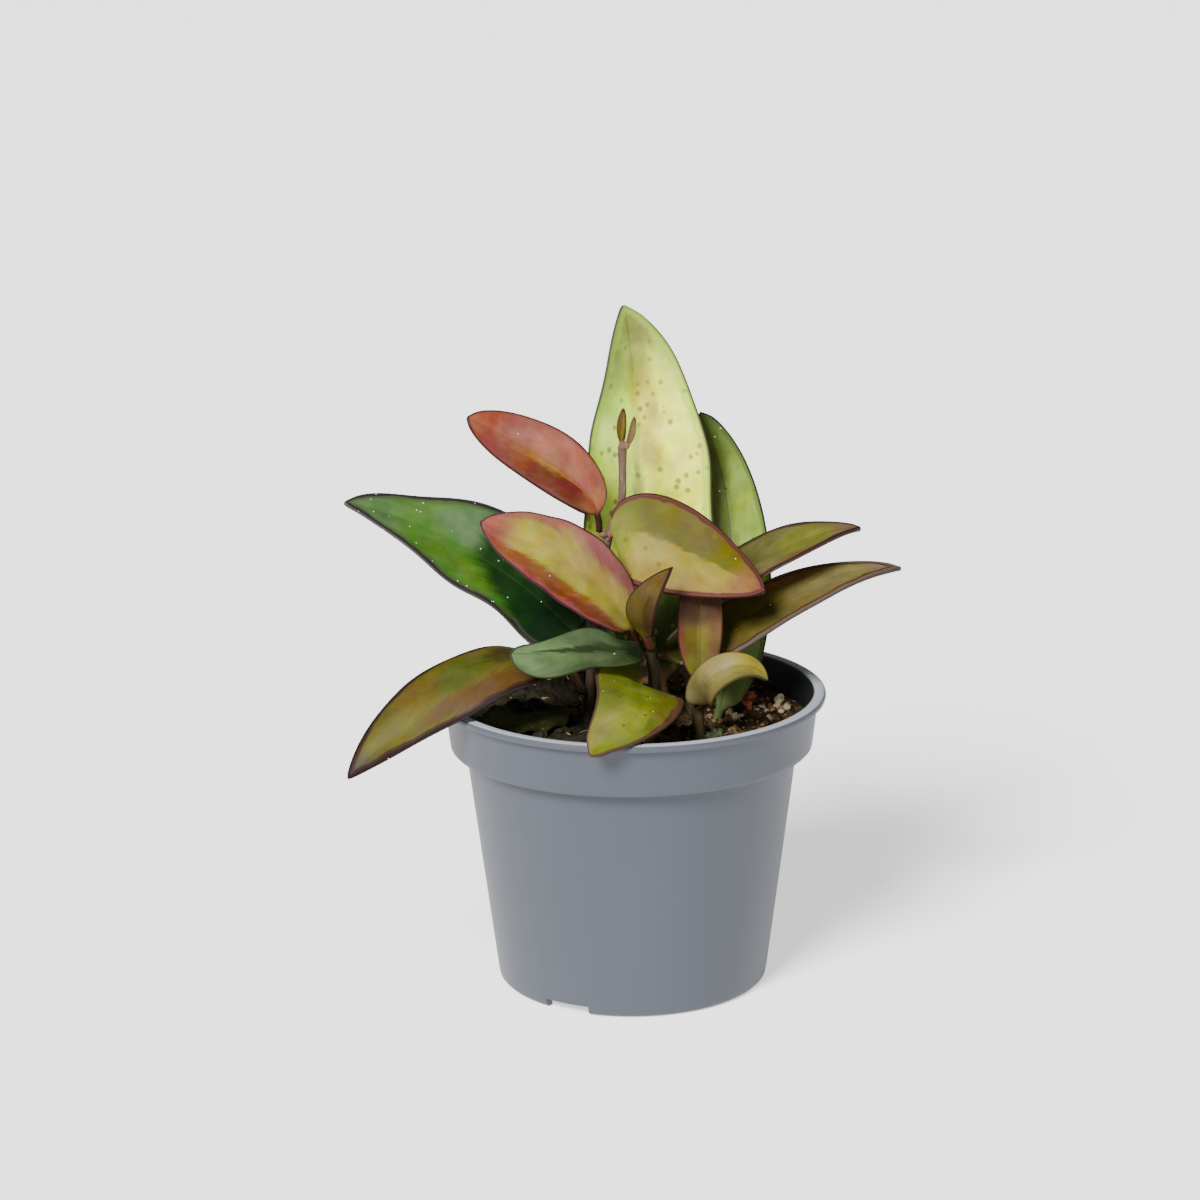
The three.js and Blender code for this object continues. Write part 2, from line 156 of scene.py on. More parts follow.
# Pot
# A thin nursery pot, moulded in two layers of polypropylene, grey-blue outside and carbon black
# inside. It has a rolled lip, a straight collar, a foot ring with three notches and six drain
# holes in a raised floor.
POT_SIDES = 144
POT_PROFILE_MM = [
    (5, 0), (5, 2.4), (28.9, 2.4), (28.9, 0), (29.9, 0), (30.75, 0.3), (31.3, 0.85), (31.49, 1.6),
    (38.45, 56.0), (38.9, 56.3), (41.6, 56.3), (41.9, 56.6), (42.05, 57.6), (43.2, 67.3),
    (44.35, 67.3), (44.85, 67.55), (45.0, 68.15), (44.85, 68.7), (44.35, 69.0), (42.7, 69.0),
    (42.2, 68.8), (42.0, 68.3), (40.75, 57.6), (37.3, 55.1), (30.55, 3.6),
]
POT_FLOOR_Z = 3.6
INSIDE_TOP_Z = 68.6
NOTCH_COUNT = 3
NOTCH_SIZE_MM = (7.2, 11, 4.6)
NOTCH_PLACE_MM = (31.3, 0, 0)
NOTCH_FIRST_AZIMUTH = -119.5
DRAIN_COUNT = 6
DRAIN_SIDES = 32
DRAIN_RADIUS = 3
DRAIN_DEPTH = 5
DRAIN_CIRCLE_RADIUS = 19
DRAIN_MIDDLE_Z = 3
LIP_NICK_AZIMUTH = 12.0
LIP_NICK_PLACE_MM = (42.9, 0, 69.2)
LIP_NICK_RADIUS_MM = 0.55
FINE_BEVEL_MM = 0.18
SHARP_ANGLE = math.radians(40)
FLOW_MARK_MM = 22.22
SCUFF_CELL_MM = 10.53
SCUFF_SHARE = 0.07
PLASTIC_GRAIN_MM = 0.3846
DUST_MM = 2.381
# Heights of the painted highlight along the top of the lip
LIP_HIGHLIGHT_MM = (68.75, 68.98)
SOFT = {"interpolation_type": "SMOOTHSTEP"}


def only(piece):
    """Makes one object the only selected one and the active one."""
    bpy.ops.object.select_all(action="DESELECT")
    piece.select_set(True)
    bpy.context.view_layer.objects.active = piece


def apply_modifier(piece, kind, **settings):
    """Adds a modifier with its settings and applies it."""
    only(piece)
    modifier = piece.modifiers.new(kind.lower(), kind)
    for name, value in settings.items():
        setattr(modifier, name, value)
    bpy.ops.object.modifier_apply(modifier=modifier.name)


def settle(piece):
    """Moves an object's place, turn and size into its mesh."""
    only(piece)
    bpy.ops.object.transform_apply(location=True, rotation=True, scale=True)


def turn_profile(name, profile_mm, sides):
    """A turned solid: a disc is extruded and resized along the profile, from below to inside."""
    radius, z = profile_mm[0]
    bpy.ops.object.select_all(action="DESELECT")
    bpy.ops.mesh.primitive_circle_add(
        vertices=sides, radius=radius * MM, fill_type="NGON", location=(0, 0, z * MM))
    piece = bpy.context.object
    piece.name = name
    settle(piece)
    bpy.ops.object.mode_set(mode="EDIT")
    bpy.ops.mesh.select_all(action="SELECT")
    for next_radius, next_z in profile_mm[1:]:
        share = next_radius / radius
        bpy.ops.mesh.extrude_region_move(
            TRANSFORM_OT_translate={"value": (0, 0, (next_z - z) * MM)})
        bpy.ops.transform.resize(value=(share, share, 1), center_override=(0, 0, next_z * MM))
        radius, z = next_radius, next_z
    bpy.ops.mesh.select_all(action="SELECT")
    bpy.ops.mesh.normals_make_consistent(inside=False)
    bpy.ops.object.mode_set(mode="OBJECT")
    return piece


def cut(piece, cutter):
    """Takes the cutter's shape out of the piece."""
    settle(cutter)
    apply_modifier(piece, "BOOLEAN", operation="DIFFERENCE", object=cutter, solver="EXACT")
    bpy.data.objects.remove(cutter)


def make_pot():
    """The turned pot, cut out at its foot, its floor and a nick in its lip, with fine bevels."""
    pot = turn_profile("nursery_pot", POT_PROFILE_MM, POT_SIDES)
    for i in range(NOTCH_COUNT):
        azimuth = math.radians(NOTCH_FIRST_AZIMUTH + 360 / NOTCH_COUNT * i)
        middle = Matrix.Rotation(azimuth, 3, "Z") @ Vector(NOTCH_PLACE_MM) * MM
        bpy.ops.mesh.primitive_cube_add(size=1, location=middle, rotation=(0, 0, azimuth))
        bpy.context.object.scale = [side * MM for side in NOTCH_SIZE_MM]
        cut(pot, bpy.context.object)
    for i in range(DRAIN_COUNT):
        azimuth = math.tau * (i + 0.5) / DRAIN_COUNT
        middle = Vector((math.cos(azimuth), math.sin(azimuth), 0)) * DRAIN_CIRCLE_RADIUS * MM
        middle.z = DRAIN_MIDDLE_Z * MM
        bpy.ops.mesh.primitive_cylinder_add(
            vertices=DRAIN_SIDES, radius=DRAIN_RADIUS * MM, depth=DRAIN_DEPTH * MM, location=middle)
        cut(pot, bpy.context.object)
    nick = Matrix.Rotation(math.radians(LIP_NICK_AZIMUTH), 3, "Z") @ Vector(LIP_NICK_PLACE_MM) * MM
    bpy.ops.mesh.primitive_ico_sphere_add(
        subdivisions=2, radius=LIP_NICK_RADIUS_MM * MM, location=nick)
    cut(pot, bpy.context.object)
    apply_modifier(pot, "BEVEL", width=FINE_BEVEL_MM * MM, segments=2, limit_method="ANGLE",
                   angle_limit=SHARP_ANGLE)
    only(pot)
    bpy.ops.object.shade_smooth_by_angle(angle=SHARP_ANGLE)
    return pot


def per(size_mm):
    """The scale of a pattern whose cells have this size."""
    return 1 / (size_mm * MM)


def coats(add, ground, layers):
    """Lays colours over the ground one after another, each where its mask is high."""
    for mask, colour in layers:
        mixed = add("Mix", {0: mask, 6: ground, 7: linear(colour)}, data_type="RGBA")
        ground = mixed.outputs[2]
    return ground


def dots(add, where, cell_mm, channel, share, reach, strength):
    """A mask of dots in a share of the cells, each fading out between two shares of its cell."""
    cells = add("TexVoronoi", {"Vector": where, "Scale": per(cell_mm)})
    draw = add("SeparateColor", [cells.outputs["Color"]])
    chosen = add("Math", [draw.outputs[channel], 1 - share], operation="GREATER_THAN")
    dot = add("MapRange", [cells, *reach, strength, 0.0], **SOFT)
    return add("Math", [dot, chosen], operation="MULTIPLY")


def outer_polypropylene():
    """Matt moulded plastic: an even colour with faint flow marks, pale scuffs and fine grain, and a
    painted highlight along the top of the lip.
    """
    material = new_material("moulded_polypropylene_grey_blue", "#41444B", 0.5, {
        "Specular IOR Level": 0.25})
    add = partial(add_node, material.node_tree)
    place = add("TexCoord").outputs["Object"]
    flow = add("Mapping", {"Vector": place, "Scale": (1, 1, 0.25)})
    clouds = add("TexNoise", {"Vector": flow, "Scale": per(FLOW_MARK_MM), "Detail": 3.0})
    scuff_space = add("Mapping", {"Vector": place, "Rotation": (0.5, 0.2, 0.4), "Scale": (1, 1, 0.16)})
    scuffs = dots(add, scuff_space, SCUFF_CELL_MM, "Red", SCUFF_SHARE, (0.03, 0.055), 0.5)
    height = add("SeparateXYZ", [place]).outputs["Z"]
    # Painted highlight: the top of the rolled lip is painted pale, as if it caught the light
    lip_painted_highlight = add("MapRange", [height, *(z * MM for z in LIP_HIGHLIGHT_MM), 0.0, 0.75])
    colour = coats(add, linear("#3C4047"), [
        (clouds, "#444750"), (scuffs, "#8C9196"), (lip_painted_highlight, "#A6ABB2")])
    grain = add("TexNoise", {"Vector": place, "Scale": per(PLASTIC_GRAIN_MM), "Detail": 2.0})
    bump = add("Bump", {"Height": grain, "Strength": 0.25, "Distance": 0.06 * MM})
    sheen = add("MapRange", [clouds, 0.0, 1.0, 0.42, 0.58])
    set_shader(material, {"Base Color": colour, "Roughness": sheen, "Normal": bump})
    return material


def inner_polypropylene():
    """Carbon black plastic with a dull gloss and a little dried dust from the peat."""
    material = new_material("carbon_black_polypropylene", "#17181A", 0.42)
    add = partial(add_node, material.node_tree)
    place = add("TexCoord").outputs["Object"]
    dust = add("TexNoise", {"Vector": place, "Scale": per(DUST_MM), "Detail": 5.0})
    dusty = add("MapRange", [dust, 0.6, 0.72], **SOFT)
    set_shader(material, {"Base Color": coats(add, linear("#17181A"), [(dusty, "#332C26")])})
    return material


def paint_inside(pot):
    """Gives the wall's inner faces and the floor's top the black layer's material."""
    for face in pot.data.polygons:
        x, y, z = (value / MM for value in face.center)
        outward = face.normal.x * x + face.normal.y * y
        wall = outward < -0.2 * math.hypot(x, y) and POT_FLOOR_Z < z < INSIDE_TOP_Z
        floor = face.normal.z > 0.9 and POT_FLOOR_Z - 0.5 < z < POT_FLOOR_Z + 1
        face.material_index = 1 if wall or floor else 0


pot = make_pot()
pot.data.materials.append(outer_polypropylene())
pot.data.materials.append(inner_polypropylene())
paint_inside(pot)
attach(pot, "root")
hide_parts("pot")


# Soil
# Dark damp peat mix, filled by hand to a finger's breadth under the lip and pressed down. Its top
# is lumpy, with crumbs, perlite grains, pale root fibres, a bark chip and a little moss.
SOIL_TOP_Z = 61.8
SOIL_RELIEF_MM = 0.54
SOIL_TOP_RADIUS = 40.9
SOIL_CELLS = 150
SOIL_FLANK_MM = [(SOIL_TOP_RADIUS, SOIL_TOP_Z), (40.1, 58.1), (36.6, 55.1), (30.1, 3.9)]
SOIL_SEED = 11
CRUMB_CELL_MM = 1.333
MOSS_PATCH_MM = 5.882
DARKER_LEFT_SPAN_MM = (-8, 14)
SOIL_SHARP_ANGLE = math.radians(50)
ROD_SHARP_ANGLE = math.radians(60)
SAME_POINT_MM = 0.01
GRAIN_ROUGHNESS = 0.28
GRAIN_NARROWEST = 0.6
GRAIN_SPREAD = 39.5
GRAIN_SUNK = 0.3
GRAIN_LIFT = 0.3
FULL_TURN = 6.283
CRUMB_COUNT = 620
PERLITE_BITS = 16
COIR_COUNT = 90
COIR_AREA_MM = ((18, 37), (-12, 14))
COIR_SPREAD = 38.5
MOSS_COUNT = 26
MOSS_PLACE_MM = (18.5, -17, 62.4)
FIBRE_COUNT = 16
FIBRE_STEPS = 14
FIBRE_SIDES = 5
FIBRE_SPREAD = 36
FIBRE_LIMIT = 39
FIBRE_BENDS = 5
PERLITE_MM = [
    (26, 15, 1.2), (27.3, 15.8, 0.9), (24.2, -1.1, 1.4), (25.4, 0.1, 0.8), (31.8, -2.9, 1.3),
    (34.7, 9.8, 1.8), (34.2, 7.4, 1.5), (35, 12.5, 1.4), (34.8, 2.6, 0.9), (30.6, 7.5, 1.1),
    (29.4, 5.4, 0.8), (31.5, 4.2, 0.7), (23.2, 6.3, 0.7), (36.2, 5.1, 1.2),
]
BARK_CHIP_MM = [(26.8, 5.2, 1.0, 2.2), (27.6, 7.4, 1.8, 2.0), (26.9, 9.6, 2.6, 1.7)]


def soil_height(x, y):
    """The height of the peat's top in mm: the solid's low lumps, with clods and crumbs on them."""
    share = min(1.0, math.hypot(x, y) / SOIL_TOP_RADIUS)
    lumps = (math.sin(0.31 * x + 1.2) * math.cos(0.27 * y - 0.6)
             + 0.6 * math.sin(0.63 * x - 0.52 * y) + 0.4 * math.cos(0.9 * y + 0.5 * x))
    clods = noise.fractal(Vector((x, y, 3)) / 5.5, 0.7, 2.1, 4)
    grit = noise.noise(Vector((x, y, 9)) / 1.3)
    low = SOIL_RELIEF_MM * lumps * (1 - share ** 6)
    return SOIL_TOP_Z + low + (1.1 * clods + 0.35 * grit) * (1 - share ** 14)


def make_soil_body():
    """The filling: a fine grid pressed to a disc, its rim drawn down inside the pot and closed."""
    bpy.ops.object.select_all(action="DESELECT")
    bpy.ops.mesh.primitive_grid_add(x_subdivisions=SOIL_CELLS, y_subdivisions=SOIL_CELLS, size=2)
    soil = bpy.context.object
    soil.name = "peat_filling"
    for vertex in soil.data.vertices:
        u, v = vertex.co.x, vertex.co.y
        x = u * math.sqrt(1 - v * v / 2) * SOIL_TOP_RADIUS
        y = v * math.sqrt(1 - u * u / 2) * SOIL_TOP_RADIUS
        vertex.co = Vector((x, y, soil_height(x, y))) * MM
    bpy.ops.object.mode_set(mode="EDIT")
    bpy.ops.mesh.select_all(action="SELECT")
    bpy.ops.mesh.region_to_loop()
    for (last_radius, last_z), (next_radius, next_z) in zip(SOIL_FLANK_MM, SOIL_FLANK_MM[1:]):
        share = next_radius / last_radius
        bpy.ops.mesh.extrude_region_move(
            TRANSFORM_OT_translate={"value": (0, 0, (next_z - last_z) * MM)})
        bpy.ops.transform.resize(value=(share, share, 1), center_override=(0, 0, next_z * MM))
    bpy.ops.mesh.edge_face_add()
    bpy.ops.object.mode_set(mode="OBJECT")
    only(soil)
    bpy.ops.object.shade_smooth_by_angle(angle=SOIL_SHARP_ANGLE)
    return soil


def damp_peat():
    """Peat: brown-black fibre crumbs about 1 mm across, darker towards the left, with paler dry bits."""
    material = new_material("damp_peat_mix", "#1E1610", 0.9, {"Specular IOR Level": 0.15})
    add = partial(add_node, material.node_tree)
    place = add("TexCoord").outputs["Object"]
    crumbs = add("TexVoronoi", {"Vector": place, "Scale": per(CRUMB_CELL_MM)})
    draw = add("SeparateColor", [crumbs.outputs["Color"]])
    patches = add("TexNoise", {"Vector": place, "Scale": per(MOSS_PATCH_MM), "Detail": 4.0})
    mossy = add("MapRange", [patches, 0.6, 0.7, 0.0, 0.35], **SOFT)
    across_pot = add("SeparateXYZ", [place]).outputs["X"]
    # The peat turns darker towards the left of the pot
    darker_left = add("MapRange", [across_pot, *(x * MM for x in DARKER_LEFT_SPAN_MM), 0.8, 0.0])
    pale = add("Math", [draw.outputs["Green"], 0.975], operation="GREATER_THAN")
    colour = coats(add, linear("#1A140D"), [
        (draw, "#4C3A26"), (mossy, "#222812"), (darker_left, "#10120B"), (pale, "#7A5E3E")])
    bump = add("Bump", {"Height": crumbs, "Strength": 0.6, "Distance": 0.4 * MM}, invert=True)
    set_shader(material, {"Base Color": colour, "Normal": bump})
    return material


def lump(name, radius_mm, seed):
    """One irregular grain: a faceted ball whose points are pushed about."""
    bpy.ops.object.select_all(action="DESELECT")
    bpy.ops.mesh.primitive_ico_sphere_add(subdivisions=2, radius=radius_mm * MM)
    grain = bpy.context.object
    grain.name = name
    bpy.ops.object.mode_set(mode="EDIT")
    bpy.ops.transform.vertex_random(
        offset=GRAIN_ROUGHNESS * radius_mm * MM, uniform=0.6, normal=0.4, seed=seed)
    bpy.ops.object.mode_set(mode="OBJECT")
    return grain


def join(pieces, name):
    """Makes one object of several."""
    bpy.ops.object.select_all(action="DESELECT")
    for piece in pieces:
        piece.select_set(True)
    bpy.context.view_layer.objects.active = pieces[0]
    bpy.ops.object.join()
    bpy.context.object.name = name
    return bpy.context.object


def scatter(name, moulds, spots, material, dice, flat=0.75):
    """Copies of the moulds at the spots (x, y, z, size), each turned at random, as one piece."""
    grains = []
    for x, y, z, size in spots:
        mesh = dice.choice(moulds).data.copy()
        turn = Matrix.Rotation(dice.uniform(0, FULL_TURN), 4, "Z")
        turn @= Matrix.Rotation(dice.uniform(0, FULL_TURN), 4, "X")
        squeeze = Matrix.Diagonal((size, size * dice.uniform(GRAIN_NARROWEST, 1), size * flat, 1))
        mesh.transform(Matrix.Translation(Vector((x, y, z)) * MM) @ turn @ squeeze)
        grains.append(bpy.data.objects.new(name, mesh))
        bpy.context.collection.objects.link(grains[-1])
    piece = join(grains, name)
    piece.data.materials.clear()
    piece.data.materials.append(material)
    for mould in moulds:
        bpy.data.objects.remove(mould)
    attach(piece, "root")


def on_soil(dice, count, size_low, size_high):
    """Random places on the peat, with sizes, each grain a little sunk in."""
    spots = []
    for _ in range(count):
        radius = GRAIN_SPREAD * math.sqrt(dice.random())
        angle = dice.uniform(0, FULL_TURN)
        x, y = radius * math.cos(angle), radius * math.sin(angle)
        size = dice.uniform(size_low, size_high)
        spots.append((x, y, soil_height(x, y) - GRAIN_SUNK + GRAIN_LIFT * size, size))
    return spots


def smooth_route(points, count):
    """Points spaced along a smooth curve that runs through the given ones."""
    knots = [Vector(p) for p in points]
    ends = [2 * knots[0] - knots[1]] + knots + [2 * knots[-1] - knots[-2]]
    route = []
    for i in range(count + 1):
        place = i / count * (len(knots) - 1)
        k = min(int(place), len(knots) - 2)
        t = place - k
        a, b, c, d = ends[k:k + 4]
        route.append(0.5 * (2 * b + (c - a) * t + (2 * a - 5 * b + 4 * c - d) * t * t
                            + (3 * b - a - 3 * c + d) * t ** 3))
    return route


def rod(name, route, radii_mm, sides):
    """A round rod along a route in mm, with a radius at each point and closed ends."""
    bpy.ops.object.select_all(action="DESELECT")
    bpy.ops.curve.primitive_nurbs_path_add()
    path = bpy.context.object
    path.name = name
    path.data.splines.clear()
    spline = path.data.splines.new("POLY")
    spline.points.add(len(route) - 1)
    for point, place, radius in zip(spline.points, route, radii_mm):
        point.co = (*(place * MM), 1)
        point.radius = radius
    path.data.dimensions = "3D"
    path.data.bevel_depth = MM
    path.data.bevel_resolution = max(0, sides // 2 - 2)
    path.data.use_fill_caps = True
    only(path)
    bpy.ops.object.convert(target="MESH")
    piece = bpy.context.object
    bpy.ops.object.mode_set(mode="EDIT")
    bpy.ops.mesh.select_all(action="SELECT")
    bpy.ops.mesh.remove_doubles(threshold=SAME_POINT_MM * MM)
    bpy.ops.mesh.normals_make_consistent(inside=False)
    bpy.ops.object.mode_set(mode="OBJECT")
    only(piece)
    bpy.ops.object.shade_smooth_by_angle(angle=ROD_SHARP_ANGLE)
    return piece


def make_fibres(dice):
    """Root fibres: thin bent strands that lie on the peat."""
    strands = []
    for _ in range(FIBRE_COUNT):
        radius = FIBRE_SPREAD * math.sqrt(dice.random())
        angle, heading = dice.uniform(0, FULL_TURN), dice.uniform(0, FULL_TURN)
        x, y = radius * math.cos(angle), radius * math.sin(angle)
        points = []
        for _ in range(FIBRE_BENDS):
            points.append((x, y, soil_height(x, y) + dice.uniform(0.1, 0.7)))
            heading += dice.uniform(-0.8, 0.8)
            step = dice.uniform(0.8, 1.9)
            x, y = x + step * math.cos(heading), y + step * math.sin(heading)
            back = min(1, FIBRE_LIMIT / math.hypot(x, y))
            x, y = x * back, y * back
        thickness = dice.uniform(0.09, 0.17)
        route = smooth_route(points, FIBRE_STEPS)
        strands.append(rod("strand", route, [thickness] * len(route), FIBRE_SIDES))
    return join(strands, "root_fibres")


soil = make_soil_body()
peat = damp_peat()
soil.data.materials.append(peat)
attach(soil, "root")
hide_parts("soil")

soil_dice = random.Random(SOIL_SEED)
scatter("peat_crumbs", [lump("crumb", 1.0, seed) for seed in range(4)],
        on_soil(soil_dice, CRUMB_COUNT, 0.45, 1.5), peat, soil_dice)

# Perlite, a puffed volcanic glass, reads as chalky cream grains
perlite = new_material("expanded_perlite", "#A89A7C", 0.8)
scatter("perlite_grains", [lump("grain", 0.8, seed) for seed in range(10, 13)],
        [(x, y, soil_height(x, y) + 0.5, size) for x, y, size in PERLITE_MM]
        + on_soil(soil_dice, PERLITE_BITS, 0.25, 0.55), perlite, soil_dice, flat=0.9)

# Chopped coconut husk that has dried at the top reads as dull tan crumbs
husk = new_material("dry_coir_crumb", "#7A5C3C", 0.85)
husk_spots = []
for _ in range(COIR_COUNT):
    x, y = (soil_dice.uniform(*side) for side in COIR_AREA_MM)
    if math.hypot(x, y) < COIR_SPREAD:
        husk_spots.append((x, y, soil_height(x, y) + 0.3, soil_dice.uniform(0.35, 0.95)))
scatter("coir_crumbs", [lump("husk", 0.8, seed) for seed in range(40, 43)],
        husk_spots, husk, soil_dice)

# A flake of pine bark, weathered to a dull brick red
bark = new_material("red_bark_chip", "#9A5030", 0.8)
scatter("bark_chips", [lump("chip", 1.0, seed) for seed in range(20, 22)],
        [(x, y, soil_height(x, y) + lift, size) for x, y, lift, size in BARK_CHIP_MM],
        bark, soil_dice, flat=0.5)

# Cushion moss that has started on the wet peat, soft and dark green
moss = new_material("cushion_moss", "#2C381A", 0.9)
moss_x, moss_y, moss_z = MOSS_PLACE_MM
moss_spots = [(moss_x + soil_dice.uniform(-2.5, 2.5), moss_y + soil_dice.uniform(-3, 6), moss_z,
               soil_dice.uniform(0.5, 1)) for _ in range(MOSS_COUNT)]
scatter("moss_tufts", [lump("tuft", 0.7, seed) for seed in range(30, 32)],
        moss_spots, moss, soil_dice, flat=0.8)

# Dried root fibre, thin and straw brown
fibres = make_fibres(soil_dice)
fibres.data.materials.append(new_material("dry_root_fibre", "#5E5038", 0.7))
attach(fibres, "root")


# Stems
# Wiry woody stems, pinkish tan where young and dark brown where old. Each swells at the joints
# that its leaves grow from, and its foot stands in the peat.
STEMS = {
    "stem_main": {
        "route": [(-10, -3, 54.6), (-9.6, -2.6, 66), (-8.3, -1, 84), (-5, 0, 105), (-2, 0, 112.7),
                  (-1.6, 0, 126.4)],
        "radii": (1.25, 0.85), "nodes": (0.2, 0.36, 0.7, 0.99), "slot": "stem_tan"},
    "stem_front": {
        "route": [(7, -10, 54.6), (5.8, -11, 70), (4.4, -11.2, 81)],
        "radii": (1.3, 1.15), "nodes": (0.93,), "slot": "stem_dark"},
    "stem_right": {
        "route": [(15.4, -13.6, 54.6), (15.1, -14.4, 64), (14.8, -14.8, 71.2)],
        "radii": (1.5, 1.25), "nodes": (0.9,), "slot": "stem_dark"},
    "stem_rear": {
        "route": [(13.8, 4.2, 54.6), (13.9, 4.8, 74), (13.4, 5, 87.2)],
        "radii": (1.3, 1.1), "nodes": (0.95,), "slot": "stem_tan"},
}
STEM_STEP_MM = 0.7
STEM_SIDES = 20
NODE_SWELL = 0.22
NODE_REACH_MM = 3.2
BARK_STREAK_MM = 1.111
BARK_BLOOM_MM = 7.692
OLD_BARK_FADE_MM = 8


def thin_bark(name, dark, light, streak, old_below_mm=None):
    """Thin bark: fine lengthwise streaks and a paler bloom, and old dark bark lower down."""
    material = new_material(name, light, 0.6, {"Specular IOR Level": 0.15})
    add = partial(add_node, material.node_tree)
    place = add("TexCoord").outputs["Object"]
    grain_space = add("Mapping", {"Vector": place, "Scale": (1, 1, 0.2)})
    grain = add("TexNoise", {"Vector": grain_space, "Scale": per(BARK_STREAK_MM), "Detail": 4.0})
    bloom = add("TexNoise", {"Vector": place, "Scale": per(BARK_BLOOM_MM), "Detail": 2.0})
    lines = add("MapRange", [grain, 0.52, 0.68, 0.0, 0.7], **SOFT)
    layers = [(bloom, light), (lines, streak)]
    if old_below_mm:
        height = add("SeparateXYZ", [place]).outputs["Z"]
        fade = [(old_below_mm + z) * MM for z in (-OLD_BARK_FADE_MM, OLD_BARK_FADE_MM)]
        layers.append((add("MapRange", [height, *fade, 0.85, 0.0]), "#241A12"))
    bump = add("Bump", {"Height": grain, "Strength": 0.5, "Distance": 0.12 * MM})
    set_shader(material, {"Base Color": coats(add, linear(dark), layers), "Normal": bump})
    return material


def make_stem(name, stem):
    """A rod that swells at its joints, with the roughness of bark."""
    route = smooth_route(stem["route"], 8)
    length = sum((b - a).length for a, b in zip(route, route[1:]))
    count = round(length / STEM_STEP_MM)
    route = smooth_route(stem["route"], count)
    foot, top = stem["radii"]
    radii = []
    for i, place in enumerate(route):
        along = i / count
        swell = sum(math.exp(-(((along - node) * length / NODE_REACH_MM) ** 2))
                    for node in stem["nodes"])
        rough = 0.05 * noise.noise(place / 1.7)
        radii.append((foot + (top - foot) * along) * (1 + NODE_SWELL * min(1, swell) + rough))
    return rod(name + "_bark", route, radii, STEM_SIDES)


tan_bark = thin_bark("young_stem_bark", "#422D27", "#614C41", "#786B5B", 96.0)
dark_bark = thin_bark("old_stem_bark", "#130F04", "#201A08", "#2D2712")
# Painted light: the right and rear stems stand in the shade of the leaves, so their bark is painted
# lighter than the old dark bark
painted_light_bark = thin_bark("bark_painted_lighter_in_shade", "#372D1A", "#50462B", "#646046")
STEM_BARKS = {"stem_main": tan_bark, "stem_front": dark_bark, "stem_right": painted_light_bark,
              "stem_rear": painted_light_bark}
for stem_name, stem in STEMS.items():
    stem_piece = make_stem(stem_name, stem)
    stem_piece.data.materials.append(STEM_BARKS[stem_name])
    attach(stem_piece, "root")
    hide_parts(stem_name)


# Leaves in general
# Each leaf is one thick waxy blade on a short round stalk. It grows flat from a bud, bends at the
# midrib, and keeps a thin purple rim where the light is strong.
BLADE_ROWS = 44
STALK_ROWS = 6
ACROSS_CELLS = 14
STALK_RADIUS = 1.0
STALK_BLEND = 0.12
EDGE_HALF_THICKNESS = 0.36
MIDRIB_HALF_THICKNESS = 0.66
TIP_HALF_WIDTH = 0.35
TIP_START = 0.965
SIDE_SHIFT = 2
RIB_GROOVE_MM = 0.16
RIB_GROOVE_REACH_MM = 0.7
UNEVEN_MM = 0.16
UNEVEN_CELL_MM = 9
STALK_FADE = 0.05
UNRIMMED_MM = 5.0
WAX_IOR = 1.4
WAX_SPECULAR = 0.1
CLOUD_MM = 4.762
MOTTLE_MM = 8.333
SKIN_GRAIN_MM = 0.6667
UNDER_CLOUD_MM = 3.846
SPECK_CELL_MM = 1.613
SPECK_REACH = (0.05, 0.12)
VEIN_SLANT = 0.35
VEIN_COUNT = 13.0
VEIN_BREADTH = 2.4


def blade_width(along, shape):
    """The blade's width, 0 at the base and the tip and 1 at its widest."""
    base, tip = shape
    widest = base / (base + tip)
    return (along / widest) ** base * ((1 - along) / (1 - widest)) ** tip


